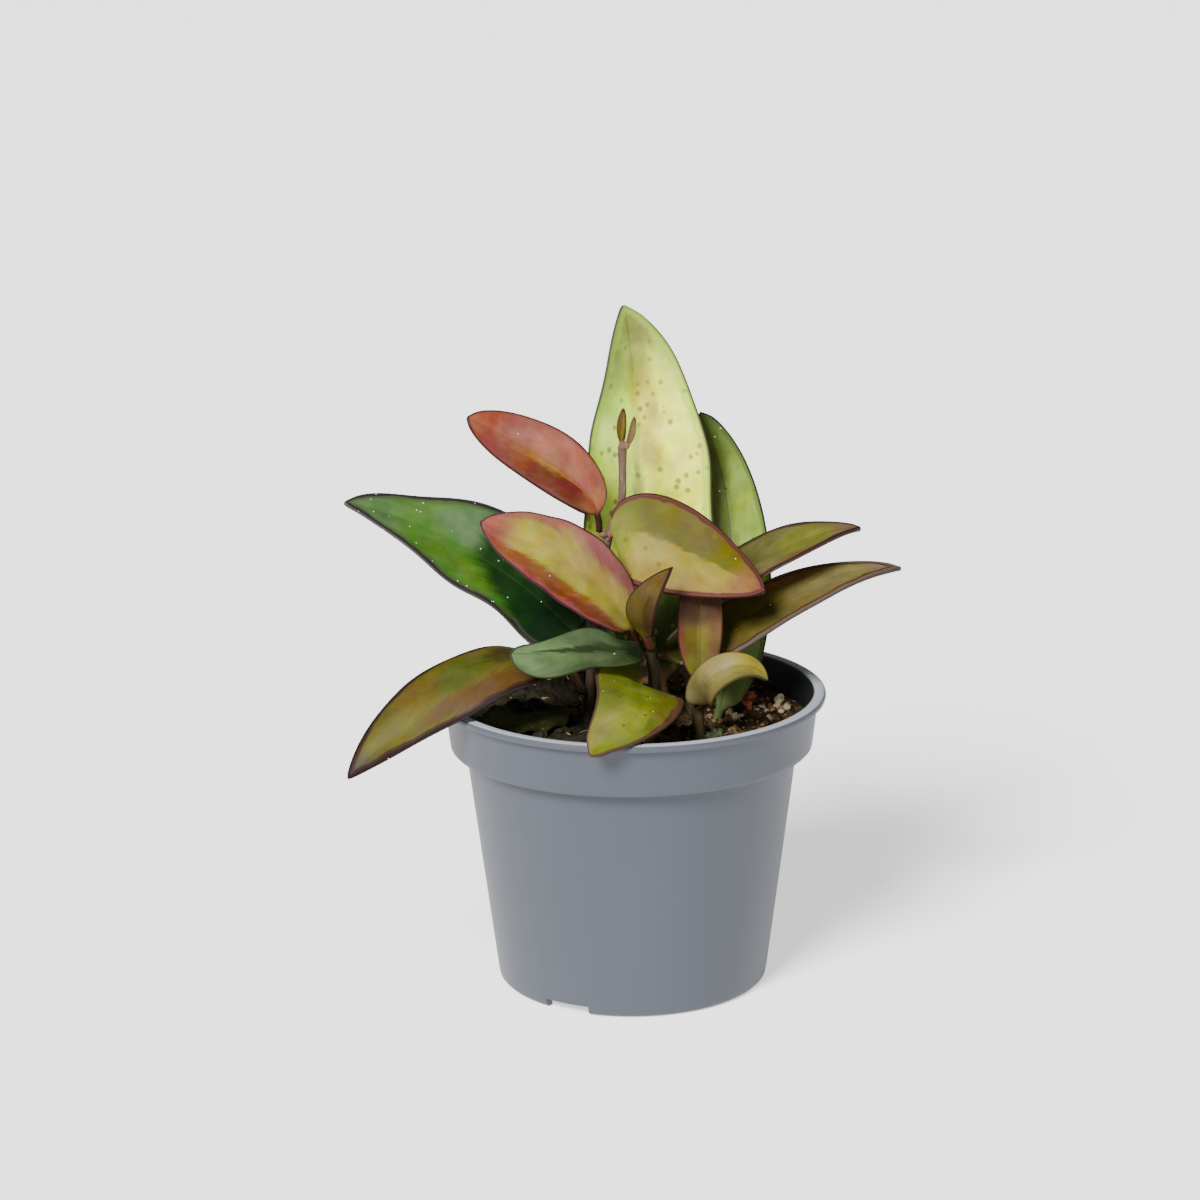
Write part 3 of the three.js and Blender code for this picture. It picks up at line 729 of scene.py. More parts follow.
def blade_point(leaf, t, across):
    """A point of the blade's middle layer in mm, with the normal and the half thickness there.

    The place along the blade and its half width follow. A positive across is the blade's left.
    """
    foot, first, second, tip = (Vector(p) for p in leaf["spine"])
    r = 1 - t
    point = foot * r ** 3 + first * (3 * r * r * t) + second * (3 * r * t * t) + tip * t ** 3
    tangent = (first - foot) * r * r + (second - first) * (2 * r * t) + (tip - second) * t * t
    tangent.normalize()
    face = Vector(leaf["face"][0]).lerp(Vector(leaf["face"][1]), t).normalized()
    left = face.cross(tangent).normalized()
    normal = tangent.cross(left).normalized()
    along = (t - leaf["stalk"]) / (1 - leaf["stalk"])
    side = 0 if across > 0 else 1
    shape = leaf.get("shape_right", leaf["shape"]) if side else leaf["shape"]
    share = blade_width(along, shape) if 0 < along < 1 else 0
    stalk_radius = leaf.get("stalk_radius", STALK_RADIUS)
    least = stalk_radius if along < 0.5 else leaf.get("tip", TIP_HALF_WIDTH)
    round_tip = math.sqrt(max(0.03, 1 - max(0, (along - TIP_START) / (1 - TIP_START)) ** 2))
    width = ((leaf["halves"][side] * share) ** 4 + least ** 4) ** 0.25 * round_tip

    ripple_height, ripple_count, ripple_start = leaf.get("ripple", (0, 1, 0))
    ripple_phase = math.tau * ripple_count * along + ripple_start + SIDE_SHIFT * side
    width += ripple_height * share * math.sin(ripple_phase)
    wave_height, wave_count = leaf.get("wave", (0, 1))
    phase = math.tau * wave_count * along + SIDE_SHIFT * side
    wave = wave_height * share * math.sin(phase) * across * across
    bend = leaf["fold"] * abs(across) + leaf.get("curl", 0) * across * across
    bend *= width * min(1, share * 6)
    uneven = noise.noise(point / UNEVEN_CELL_MM + Vector((0, 0, across * 1.5)))
    uneven *= UNEVEN_MM * share
    groove = math.exp(-(across * width / RIB_GROOVE_REACH_MM) ** 2) * min(1, share * 3)
    groove *= RIB_GROOVE_MM

    midrib = MIDRIB_HALF_THICKNESS * leaf.get("plump", 1)
    blade = EDGE_HALF_THICKNESS + (midrib - EDGE_HALF_THICKNESS) * (1 - abs(across) ** 1.5)
    round_stalk = stalk_radius * math.sqrt(max(0.04, 1 - across * across))
    blend = min(1, max(0, along / STALK_BLEND))
    half = round_stalk + (blade - round_stalk) * blend * blend * (3 - 2 * blend)
    place = point + left * (across * width) + normal * (bend + wave + uneven - groove)
    return place, normal, half, along, width


def blade_rows(leaf):
    """The share of the spine at each row, closer together at the blade's base and tip."""
    stalk = leaf["stalk"]
    rows = [stalk * i / STALK_ROWS for i in range(STALK_ROWS)]
    for i in range(BLADE_ROWS + 1):
        even = i / BLADE_ROWS
        crowded = (1 - math.cos(math.pi * even)) / 2
        rows.append(stalk + (1 - stalk) * (0.4 * even + 0.6 * crowded))
    return rows


def make_leaf(name, leaf, materials):
    """A grid laid along the spine, thickened to both sides of it, rounded and smoothed."""
    rows = blade_rows(leaf)
    bpy.ops.object.select_all(action="DESELECT")
    bpy.ops.mesh.primitive_grid_add(
        x_subdivisions=ACROSS_CELLS, y_subdivisions=len(rows) - 1, size=2, calc_uvs=True)
    blade = bpy.context.object
    blade.name = name + "_blade"
    mesh = blade.data
    thickness = blade.vertex_groups.new(name="thickness")
    midrib = MIDRIB_HALF_THICKNESS * leaf.get("plump", 1)
    greatest = max(leaf.get("stalk_radius", STALK_RADIUS), midrib)
    marks = {"along": [], "across": [], "margin_mm": [], "rib_mm": []}
    for vertex in mesh.vertices:
        across = -vertex.co.x
        row = round((vertex.co.y + 1) / 2 * (len(rows) - 1))
        place, _, half, along, width = blade_point(leaf, rows[row], across)
        vertex.co = place * MM
        thickness.add([vertex.index], half / greatest, "REPLACE")
        marks["along"].append(along)
        marks["across"].append(across)
        off_stalk = min(1, max(0, along / STALK_FADE))
        marks["margin_mm"].append((1 - abs(across)) * width + UNRIMMED_MM * (1 - off_stalk))
        marks["rib_mm"].append(abs(across) * width)
    for mark, values in marks.items():
        mesh.attributes.new(mark, "FLOAT", "POINT")
        mesh.attributes[mark].data.foreach_set("value", values)
    for material in materials:
        mesh.materials.append(material)
    apply_modifier(blade, "SOLIDIFY", thickness=2 * greatest * MM, offset=0.0,
                   vertex_group="thickness", material_offset=1, material_offset_rim=0)
    apply_modifier(blade, "SUBSURF", levels=1, render_levels=1)
    blade.vertex_groups.clear()
    only(blade)
    bpy.ops.object.shade_smooth()
    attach(blade, "root")
    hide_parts(name)


def vein_wisps(add):
    """Noise drawn out along the side veins, and the place on the blade as along and across."""
    along = add("Attribute", attribute_name="along").outputs["Fac"]
    across = add("Attribute", attribute_name="across").outputs["Fac"]
    flat = add("Math", [across], operation="ABSOLUTE")
    vein = add("Math", [flat, -VEIN_SLANT, along], operation="MULTIPLY_ADD")
    quick = add("Math", [vein, VEIN_COUNT], operation="MULTIPLY")
    slow = add("Math", [across, VEIN_BREADTH], operation="MULTIPLY")
    space = add("CombineXYZ", [quick, slow])
    wisps = add("TexNoise", {"Vector": space, "Scale": 1.0, "Detail": 4.0, "Roughness": 0.6})
    return wisps, add("CombineXYZ", [along, across])


def waxy_skin(name, ground, patches, margin, rib=None, spots=None, specks=0.0, roughness=0.36,
              feather=0.5, stalk="#6A4A38"):
    """A hoya leaf's upper skin: tinted patches that feather along the veins, a rim and a midrib.

    patches: (colour, strength, centre, reach, softness), centre and reach being along and across.
    margin: rows of (colour, width in mm, strength). rib: colour, half width in mm, strength.
    spots: colour, share of cells that have one, cell size and radius in mm. specks: share of cells that
    have a pale speck, which is a painted glint.
    """
    material = new_material("waxy_leaf_skin_" + name, ground, roughness, {
        "IOR": WAX_IOR, "Specular IOR Level": WAX_SPECULAR})
    add = partial(add_node, material.node_tree)
    where = add("TexCoord").outputs["Object"]
    clouds = add("TexNoise", {"Vector": where, "Scale": per(CLOUD_MM), "Detail": 4.0})
    fine = add("TexNoise", {"Vector": where, "Scale": per(SKIN_GRAIN_MM), "Detail": 3.0})
    mottle = add("TexNoise", {
        "Vector": where, "Scale": per(MOTTLE_MM), "Detail": 5.0, "Roughness": 0.65, "Distortion": 0.6})
    wisps, plain = vein_wisps(add)
    centred = add("VectorMath", [wisps.outputs["Color"], (0.5, 0.5, 0.5)], operation="SUBTRACT")
    pushed = add("VectorMath", [centred, (0.25 * feather, feather, 0)], operation="MULTIPLY")
    place = add("VectorMath", [plain, pushed], operation="ADD")

    tints = []
    for tint, strength, centre, reach, softness in patches:
        offset = add("VectorMath", [place, (*centre, 0)], operation="SUBTRACT")
        scaled = add("VectorMath", [offset, (*reach, 1)], operation="DIVIDE")
        reached = add("VectorMath", [scaled], operation="LENGTH").outputs["Value"]
        mask = add("MapRange", [reached, 1 - softness, 1 + softness, strength, 0.0], **SOFT)
        tints.append((mask, tint))
    tone = add("MapRange", [clouds, 0.3, 0.7, 0.8, 1.18])
    vein_tone = add("MapRange", [wisps, 0.3, 0.7, 0.92, 1.08])
    both = add("Math", [tone, vein_tone], operation="MULTIPLY")
    hue = add("MapRange", [mottle, 0.35, 0.65, 0.482, 0.518])
    faded = add("MapRange", [mottle.outputs["Color"], 0.35, 0.65, 0.84, 1.06])
    tinted = add("HueSaturation", {
        "Hue": hue, "Saturation": faded, "Value": both, "Color": coats(add, linear(ground), tints)})

    marks = []
    if rib:
        tint, half_width, strength = rib
        from_rib = add("Attribute", attribute_name="rib_mm").outputs["Fac"]
        shaken = add("Math", [fine, 0.5, from_rib], operation="MULTIPLY_ADD")
        mask = add("MapRange", [shaken, half_width + 0.1, half_width + 0.45, strength, 0.0], **SOFT)
        marks.append((mask, tint))
    if spots:
        tint, share, cell, radius = spots
        reach = (0.4 * radius / cell, radius / cell)
        marks.append((dots(add, where, cell, "Red", share, reach, 0.75), tint))
    along = add("Attribute", attribute_name="along").outputs["Fac"]
    marks.append((add("MapRange", [along, -0.02, 0.045, 1.0, 0.0], **SOFT), stalk))
    ragged = add("MapRange", [clouds, 0.3, 0.7, 1.3, 0.75])
    from_edge = add("Attribute", attribute_name="margin_mm").outputs["Fac"]
    uneven = add("Math", [from_edge, ragged], operation="MULTIPLY")
    for tint, width, strength in margin:
        mask = add("MapRange", [uneven, 0.8 * width, 1.15 * width + 0.05, strength, 0.0], **SOFT)
        marks.append((mask, tint))
    if specks:
        # Pale specks: painted glints of light on the wax
        pale = dots(add, where, SPECK_CELL_MM, "Green", specks, SPECK_REACH, 0.9)
        marks.append((pale, "#E4E2CE"))

    shine = add("MapRange", [clouds, 0.3, 0.7, roughness - 0.07, roughness + 0.1])
    bump = add("Bump", {"Height": fine, "Strength": 0.25, "Distance": 0.1 * MM})
    swell = add("Bump", {"Height": wisps, "Strength": 0.35, "Distance": 0.3 * MM, "Normal": bump})
    set_shader(material, {
        "Base Color": coats(add, tinted, marks), "Roughness": shine, "Normal": swell})
    return material


def dull_underside(name, light, dark):
    """The underside: no wax bloom, paler, with the side veins showing as darker wisps."""
    material = new_material("leaf_underside_" + name, light, 0.5)
    add = partial(add_node, material.node_tree)
    where = add("TexCoord").outputs["Object"]
    wisps, _ = vein_wisps(add)
    clouds = add("TexNoise", {"Vector": where, "Scale": per(UNDER_CLOUD_MM), "Detail": 3.0})
    mixed = add("Math", [wisps, clouds], operation="MULTIPLY")
    spread = add("MapRange", [mixed, 0.12, 0.38])
    from_edge = add("Attribute", attribute_name="margin_mm").outputs["Fac"]
    rim = add("MapRange", [from_edge, 0.2, 1.0, 0.7, 0.0])
    colour = coats(add, linear(dark), [(spread, light), (rim, "#2E221E")])
    bump = add("Bump", {"Height": wisps, "Strength": 0.4, "Distance": 0.3 * MM})
    set_shader(material, {"Base Color": colour, "Normal": bump})
    return material


green_under = dull_underside("green", "#64703F", "#465227")
olive_under = dull_underside("olive", "#625A36", "#483E20")
red_under = dull_underside("red", "#6C483C", "#4C2C26")


# Tall pale leaf
# The largest and oldest leaf, bleached cream green, with green margins, a thin dark edge and small brown
# spots. It stands upright behind the main stem. The main stem's shadow is painted beside the midrib, and
# painted shade darkens the base over its own darker green there.
make_leaf("leaf_tall_pale", {
    "spine": [(10.5, 5, 56), (-2.5, 16, 100), (5.2, 19, 128.5), (-1.1, 21, 155)],
    "face": [(0.26, -0.96, 0.1), (0.56, -0.82, 0.13)],
    "stalk": 0.1, "halves": (16.4, 17), "shape": (0.42, 0.74), "shape_right": (0.48, 0.73),
    "fold": 0.24, "curl": 0.06, "wave": (0.3, 3), "ripple": (0.45, 3.1, 1.7), "tip": 1.5,
    "slot": "leaf_cream_green",
}, [waxy_skin("tall_pale", "#D4E738", [
    ("#B3DB3F", 0.8, (0.5, 0.72), (0.5, 0.62), 0.4),
    ("#DCE137", 0.8, (0.5, -0.42), (0.3, 0.45), 0.5),
    ("#B69D3F", 0.6, (0.71, -0.12), (0.13, 0.26), 0.5),
    ("#937741", 0.7, (0.55, -0.2), (0.05, 0.16), 0.6),
    ("#937C41", 0.65, (0.8, 0.02), (0.07, 0.3), 0.7),
    ("#82723D", 0.5, (0.66, -0.3), (0.03, 0.12), 0.7),
    # Painted shadow of the main stem: a darker green streak beside the midrib
    ("#738C3E", 0.75, (0.38, 0.03), (0.18, 0.09), 0.5),
    ("#6A7932", 0.9, (1.08, 0), (0.3, 3), 0.5),
    ("#5D542E", 0.55, (0.93, -0.25), (0.06, 0.5), 0.6),
    ("#606F2F", 0.6, (0.84, 0.95), (0.14, 0.5), 0.5),
    # Dark green base, partly its own colour and partly painted shade low among the other leaves
    ("#223517", 0.95, (-0.1, 0), (0.36, 3), 0.3),
    ("#182910", 0.8, (-0.2, 0), (0.36, 3), 0.3),
], margin=[("#82A236", 2.4, 0.5), ("#5C6F35", 0.8, 0.6), ("#2E3129", 0.22, 0.9)],
    rib=("#839A40", 0.1, 0.35), spots=("#6E6935", 0.7, 2.9, 0.95), specks=0.04, roughness=0.45,
    feather=0.3),
    green_under])


# Tall green leaf
# The second upright leaf, half hidden behind the pale one: dark olive in the shade of its fold
# and bright green where it faces the light.
make_leaf("leaf_tall_green", {
    "spine": [(17.4, -8, 56), (25, 10.5, 70.6), (28, 28, 106), (16.9, 31, 127.6)],
    "face": [(-0.1, -0.98, 0.1), (-0.1, -0.98, 0.1)],
    "stalk": 0.15, "halves": (7.4, 9.2), "shape": (0.8, 0.62), "shape_right": (0.42, 0.62),
    "fold": 0.2, "wave": (0.3, 3), "slot": "leaf_green",
}, [waxy_skin("tall_green", "#4F601B", [
    ("#687E1A", 0.95, (0.5, -0.6), (0.36, 0.4), 0.35),
    ("#434D1C", 0.97, (0.5, 1.0), (3, 1.02), 0.1),
    ("#2A3110", 0.7, (1.0, 0.2), (0.2, 1.0), 0.5),
    ("#3B4D1A", 0.6, (0.95, -0.5), (0.16, 0.5), 0.5),
    # Painted light: the pale stub at the base is painted lighter still, to make up for the shade it
    # stands in
    ("#606F3D", 0.95, (0.02, 0), (0.28, 3), 0.35),
    ("#566436", 0.7, (0.08, 0.4), (0.12, 0.6), 0.5),
], margin=[("#324318", 1.1, 0.6), ("#161812", 0.3, 0.9)],
    rib=("#1E2B0D", 0.2, 0.6), spots=("#282F13", 0.5, 3.4, 0.5), specks=0.04,
    stalk="#48522A"), green_under])


# Terracotta leaf
# A young leaf still full of red pigment: dusty pink above the midrib, deep brick below it, with an ochre
# streak along the midrib and an orange tip. The ochre streak is partly a painted highlight along the
# fold, and a thin mauve line along the lower edge is a painted highlight.
make_leaf("leaf_terracotta", {
    "spine": [(-7.1, -0.7, 106.5), (-6, -1, 117.6), (-21.5, -3, 125), (-36.5, -5, 134.5)],
    "face": [(0.2, -0.6, 0.77), (0, -0.85, 0.52)],
    "stalk": 0.14, "halves": (7.6, 7.9), "shape": (0.57, 0.6), "tip": 1.2, "stalk_radius": 0.8,
    "fold": 0.2, "curl": 0.04, "wave": (0.2, 2), "slot": "leaf_terracotta",
}, [waxy_skin("terracotta", "#784435", [
    ("#562114", 0.96, (0.36, 1.0), (0.58, 0.98), 0.1),
    ("#67341F", 0.8, (0.78, 0.4), (0.16, 0.5), 0.5),
    # Ochre streak along the midrib, partly a painted highlight on the fold
    ("#734D19", 0.85, (0.64, 0.14), (0.22, 0.14), 0.5),
    ("#86531C", 0.75, (0.34, 0.08), (0.28, 0.07), 0.5),
    ("#703224", 0.88, (1.0, 0.1), (0.3, 2), 0.45),
    ("#6E3825", 0.8, (1.04, -0.2), (0.16, 1), 0.5),
    ("#632F28", 0.7, (0.84, 0.9), (0.16, 0.3), 0.5),
    ("#7C4B26", 0.85, (0.04, 0.2), (0.15, 0.9), 0.5),
    # Painted highlight: a thin mauve line along the lower edge
    ("#603430", 0.8, (0.42, 0.98), (0.42, 0.14), 0.4),
    ("#80493B", 0.5, (0.4, -0.5), (0.3, 0.3), 0.6),
], margin=[("#5A2E27", 0.8, 0.5), ("#28130F", 0.32, 0.9)],
    rib=("#4C2010", 0.06, 0.4), specks=0.04, roughness=0.42, feather=0.5, stalk="#2C160D"), red_under])


# Yellow leaf at the left
# A half-ripe leaf: yellow green along its middle, rose at the tip and the margins, with an
# orange-red flame that creeps in from the lower margin.
make_leaf("leaf_yellow_left", {
    "spine": [(2, -10.3, 80.8), (-3, -18.3, 99.8), (-19.4, -19, 106.8), (-33.5, -20, 113.9)],
    "face": [(0.1, -0.71, 0.69), (0.05, -0.8, 0.59)],
    "stalk": 0.12, "halves": (9.4, 9.4), "shape": (0.57, 0.69),
    "fold": 0.15, "wave": (0.3, 2), "ripple": (0.12, 5, 0), "slot": "leaf_yellow",
}, [waxy_skin("yellow_left", "#796F22", [
    ("#755A2D", 0.6, (0.4, -0.3), (0.2, 0.4), 0.5),
    ("#8E7F1F", 0.6, (0.7, 0.1), (0.18, 0.4), 0.5),
    ("#6B3938", 0.92, (0.3, -0.98), (0.3, 0.5), 0.3),
    ("#734036", 0.85, (0.75, -0.98), (0.3, 0.28), 0.35),
    ("#743832", 0.92, (1.04, 0), (0.22, 3), 0.35),
    ("#642F13", 0.92, (0.5, 0.76), (0.52, 0.32), 0.28),
    ("#531E0E", 0.85, (0.3, 0.84), (0.3, 0.2), 0.35),
    ("#6C312C", 0.9, (0.55, 1.05), (0.5, 0.2), 0.3),
], margin=[("#623339", 0.7, 0.6), ("#2C131A", 0.34, 0.9)],
    rib=("#675D22", 0.1, 0.35), specks=0.015, feather=0.45, stalk="#28150D"), red_under])


# Yellow leaf at the right
# A broad leaf, olive above the midrib and pale yellow below it, with a wide mauve rim. The pale
# half meets the olive one in a ragged line along the midrib.
make_leaf("leaf_yellow_right", {
    "spine": [(-4.5, -2.3, 106.2), (-2.7, -4.6, 110.4), (11, -9, 104.7), (30.2, -16.5, 96.2)],
    "face": [(-0.27, -0.95, 0.15), (0, -0.66, 0.75)],
    "stalk": 0.08, "halves": (10.6, 11.6), "shape": (0.57, 0.69),
    "fold": 0.04, "curl": -0.07, "wave": (0.3, 2), "slot": "leaf_yellow",
}, [waxy_skin("yellow_right", "#74671E", [
    ("#47450D", 0.98, (0.5, 1.02), (3, 1.0), 0.05),
    ("#523F0E", 0.4, (0.74, 0.64), (0.26, 0.3), 0.5),
    ("#5F6513", 0.85, (0.05, -0.3), (0.26, 1.0), 0.5),
    ("#7D7136", 0.6, (0.45, -0.25), (0.14, 0.3), 0.5),
    ("#71581C", 0.7, (0.72, -0.7), (0.22, 0.3), 0.6),
    ("#744A21", 0.8, (0.95, -0.2), (0.1, 0.8), 0.5),
    ("#5A2D21", 0.9, (1.04, 0), (0.08, 3), 0.4),
], margin=[("#421E1D", 1.45, 0.95), ("#53302A", 0.8, 0.5), ("#280F0F", 0.3, 0.9)],
    spots=("#544C19", 0.6, 4.0, 0.9), specks=0.03, roughness=0.56, feather=0.34), olive_under])


# Young folded leaf
# A small leaf that has just opened at the top of the front stem, brown olive, on a pink stalk.
# Its two halves still stand in a shallow fold.
make_leaf("leaf_young", {
    "spine": [(4.4, -11.4, 82), (2.5, -17, 89.3), (-0.6, -21.2, 92.9), (9.1, -23, 103.9)],
    "face": [(-0.53, -0.82, 0.2), (-0.55, -0.8, 0.23)],
    "stalk": 0.2, "halves": (4.4, 4.4), "shape": (0.53, 0.8),
    "fold": 0.16, "slot": "leaf_dark_olive",
}, [waxy_skin("young", "#3F300D", [
    ("#473A13", 0.8, (0.35, 0.6), (0.4, 0.6), 0.5),
    ("#33220D", 0.8, (0.6, -0.6), (0.4, 0.5), 0.4),
    ("#4A3917", 0.7, (0.9, 0), (0.2, 2), 0.5),
    ("#3D3D13", 0.7, (0.1, 0.2), (0.14, 1), 0.5),
    ("#562F26", 1.0, (-1.0, 0), (1.02, 50), 0.03),
], margin=[("#1C0D0D", 0.4, 0.9)], rib=("#4E3F18", 0.1, 0.5), stalk="#562F26"), olive_under])


# Narrow pink leaf
# A narrow upright leaf under the yellow one, with an ochre middle and pink margins. The leaf
# above keeps its top in the shade.
make_leaf("leaf_narrow_pink", {
    "spine": [(14.8, -14.9, 72), (16.1, -16, 79), (14.6, -13, 92.3), (16.9, -6, 105.8)],
    "face": [(0.12, -0.99, 0.1), (0.07, -0.99, 0.1)],
    "stalk": 0.14, "halves": (5.2, 5.2), "shape": (0.58, 0.66),
    "fold": 0.15, "wave": (0.2, 2), "slot": "leaf_pink_olive",
}, [waxy_skin("narrow_pink", "#544B17", [
    ("#483C0D", 0.92, (0.42, 0.5), (0.5, 0.34), 0.25),
    ("#553C24", 0.92, (0.4, -0.85), (0.5, 0.42), 0.35),
    ("#522A1D", 0.9, (0.45, 1.02), (0.5, 0.3), 0.4),
    ("#4D4E11", 0.8, (0.04, 0), (0.16, 2), 0.5),
    ("#2D170D", 0.85, (1.0, 0), (0.54, 3), 0.12),
], margin=[("#492A1D", 0.4, 0.7), ("#220E0D", 0.2, 0.7)], rib=("#3F390F", 0.12, 0.5),
    feather=0.2), red_under])


# Small curled leaf
# A pale little leaf that arches over at the right of the stems and turns its tip down. Its
# yellow tip is creased.
make_leaf("leaf_small_curled", {
    "spine": [(15.5, -17.4, 69.6), (15.1, -22, 79.4), (26.6, -23, 84.6), (30.4, -20, 76.5)],
    "face": [(0.1, -0.51, 0.85), (0.1, -0.67, 0.73)],
    "stalk": 0.04, "halves": (4.6, 5.1), "shape": (0.25, 0.74), "tip": 0.2,
    "fold": 0.18, "curl": 0.02, "slot": "leaf_yellow",
}, [waxy_skin("small_curled", "#655D29", [
    ("#726717", 0.9, (0.8, 0.3), (0.22, 0.9), 0.35),
    ("#726A3D", 0.7, (0.4, 0.3), (0.25, 0.5), 0.5),
    ("#433B23", 0.8, (0.02, 0), (0.2, 2), 0.5),
    ("#4C4A20", 0.7, (0.5, -0.9), (0.4, 0.3), 0.5),
], margin=[("#2F2217", 0.3, 0.8)], rib=("#4B4125", 0.1, 0.5), roughness=0.48,
    stalk="#26180D"), green_under])


# Upper leaf at the right
# A long olive leaf that reaches out over the rim, with a dark purple rim. Its tip is bent a
# little down.
make_leaf("leaf_upper_right", {
    "spine": [(14.5, 4.8, 88.5), (19, 0.5, 91.6), (37, 0, 105.6), (52.8, 1, 106.4)],
    "face": [(0, -0.43, 0.9), (-0.07, -0.08, 0.99)],
    "stalk": 0.15, "halves": (9.6, 9.7), "shape": (0.55, 0.72),
    "fold": 0.16, "wave": (0.3, 2), "tip": 0.8, "slot": "leaf_olive",
}, [waxy_skin("upper_right", "#4E4B22", [
    ("#5C5D1D", 0.85, (0.72, -0.1), (0.2, 0.7), 0.45),
    ("#5E4B33", 0.8, (0.95, 0), (0.1, 2), 0.5),
    ("#403E1A", 0.8, (0.25, 0.2), (0.24, 1.5), 0.4),
    ("#5C5337", 0.6, (0.45, -0.5), (0.12, 0.4), 0.5),
    ("#573727", 0.5, (0.6, -0.85), (0.3, 0.2), 0.5),
# The thin mauve outermost rim line is a painted highlight on the edge
], margin=[("#301F1E", 1.5, 0.9), ("#1D0D0D", 0.75, 0.9), ("#3B2C2A", 0.12, 0.6)],
    rib=("#433E1D", 0.12, 0.4), spots=("#2F2910", 0.12, 4.0, 0.5), specks=0.02, roughness=0.44,
    stalk="#23170D"), olive_under])


# Lower leaf at the right
# The longest leaf, brown olive, with a dark purple rim. The thick edge shows tan and mauve where
# it catches the light.
make_leaf("leaf_lower_right", {
    "spine": [(6, -9.6, 79.8), (18.5, -4, 77.5), (39, -1, 98.6), (62, -1, 97.4)],
    "face": [(0, -0.48, 0.88), (0, -0.28, 0.96)],
    "stalk": 0.05, "halves": (8.4, 8.8), "shape": (0.46, 0.74),
    "fold": 0.11, "curl": -0.02, "wave": (0.3, 2), "slot": "leaf_dark_olive",
}, [waxy_skin("lower_right", "#53481C", [
    ("#5C542B", 0.8, (0.76, 0.0), (0.16, 0.6), 0.5),
    ("#5E503C", 0.85, (0.98, 0), (0.1, 2), 0.5),
    ("#3B330D", 0.9, (0.3, 0), (0.26, 3), 0.35),
    ("#2A2F0D", 0.9, (0.02, 0), (0.14, 3), 0.3),
    ("#5A371C", 0.7, (0.6, 0.75), (0.14, 0.3), 0.5),
    ("#4C4219", 0.6, (0.5, -0.6), (0.2, 0.4), 0.5),
], margin=[("#301911", 1.6, 0.9), ("#4F453D", 1.05, 0.85), ("#362C25", 0.3, 0.9)],
    rib=("#483E1B", 0.12, 0.4), specks=0.02, roughness=0.44, stalk="#241A0D"), olive_under])


# Green leaf at the left
# A mature deep green leaf with a wavy near-black rim and pale specks, which are painted glints. The
# yellow leaf in front of it shades the part near the stem, and that shade is painted on. A grey-green
# haze is a painted sheen, and the pale outermost line of the rim is a painted highlight.
make_leaf("leaf_green_left", {
    "spine": [(-11.2, -1.6, 80.6), (-18, 1.6, 89.4), (-41, 1, 108), (-65, -2, 114.2)],
    "face": [(0, -0.79, 0.6), (0.1, -0.61, 0.79)],
    "stalk": 0.05, "halves": (11.2, 12.3), "shape": (0.36, 0.77), "shape_right": (0.62, 0.77),
    "fold": 0.16, "wave": (0.8, 3), "ripple": (1.5, 1.43, 1.74), "tip": 1.2,
    "slot": "leaf_deep_green",
}, [waxy_skin("green_left", "#315712", [
    ("#3D5F22", 0.7, (0.72, -0.1), (0.16, 0.5), 0.5),
    # Painted sheen: a grey-green haze, the light's reflection painted on the upper half
    ("#4E5E43", 0.8, (0.56, -0.5), (0.14, 0.4), 0.45),
    ("#3F5A15", 0.7, (0.6, 0.5), (0.22, 0.25), 0.5),
    ("#3E5632", 0.8, (0.92, 0), (0.1, 2), 0.5),
    # Painted shadow of the yellow leaf over the part near the stem
    ("#10290D", 1.0, (0.0, -0.4), (0.56, 1.5), 0.1),
    ("#0D1F0D", 0.85, (-0.05, 0), (0.32, 3), 0.3),
# The pale outermost rim line is a painted highlight along the edge
], margin=[("#37372D", 1.7, 0.6), ("#1F1D1B", 1.0, 0.92), ("#473D3F", 0.16, 0.7)],
    rib=("#284B10", 0.12, 0.35), specks=0.4, roughness=0.42, feather=0.3, stalk="#111D0D"), green_under])


# Twisted sage leaf
# A damaged grey-green leaf that lies twisted above the soil, with dark creases along it, which are
# painted shade, and a pale flap at its free end.
make_leaf("leaf_sage", {
    "spine": [(2.5, -13.2, 79), (1.5, -20.3, 85.3), (-15.4, -26, 83.8), (-27, -27, 85.4)],
    "face": [(0.12, -0.7, 0.72), (0.1, -0.85, 0.5)],
    "stalk": 0.06, "halves": (5.0, 4.9), "shape": (0.75, 0.3), "shape_right": (0.34, 0.5),
    "fold": 0.16, "wave": (1.3, 2), "ripple": (0.9, 1.6, 0.2), "slot": "leaf_sage",
}, [waxy_skin("sage", "#333E24", [
    ("#495D38", 0.92, (0.86, -0.2), (0.24, 1.0), 0.3),
    ("#3C4C2B", 0.8, (0.6, 0.35), (0.2, 0.35), 0.4),
    ("#334528", 0.7, (0.45, -0.7), (0.25, 0.3), 0.5),
    # Painted shade: dark creases along the twist, where the fold keeps out the light
    ("#14210D", 0.9, (0.55, -0.18), (0.3, 0.13), 0.4),
    ("#1A2C0D", 0.8, (0.35, -0.25), (0.2, 0.16), 0.5),
    ("#0F190D", 0.92, (0.02, 0), (0.24, 2), 0.4),
    ("#203111", 0.6, (0.25, 0.6), (0.15, 0.4), 0.5),
], margin=[("#334428", 0.35, 0.6), ("#18210F", 0.2, 0.7)],
    rib=("#111E0D", 0.15, 0.35), specks=0.03, roughness=0.5, feather=0.5), green_under])


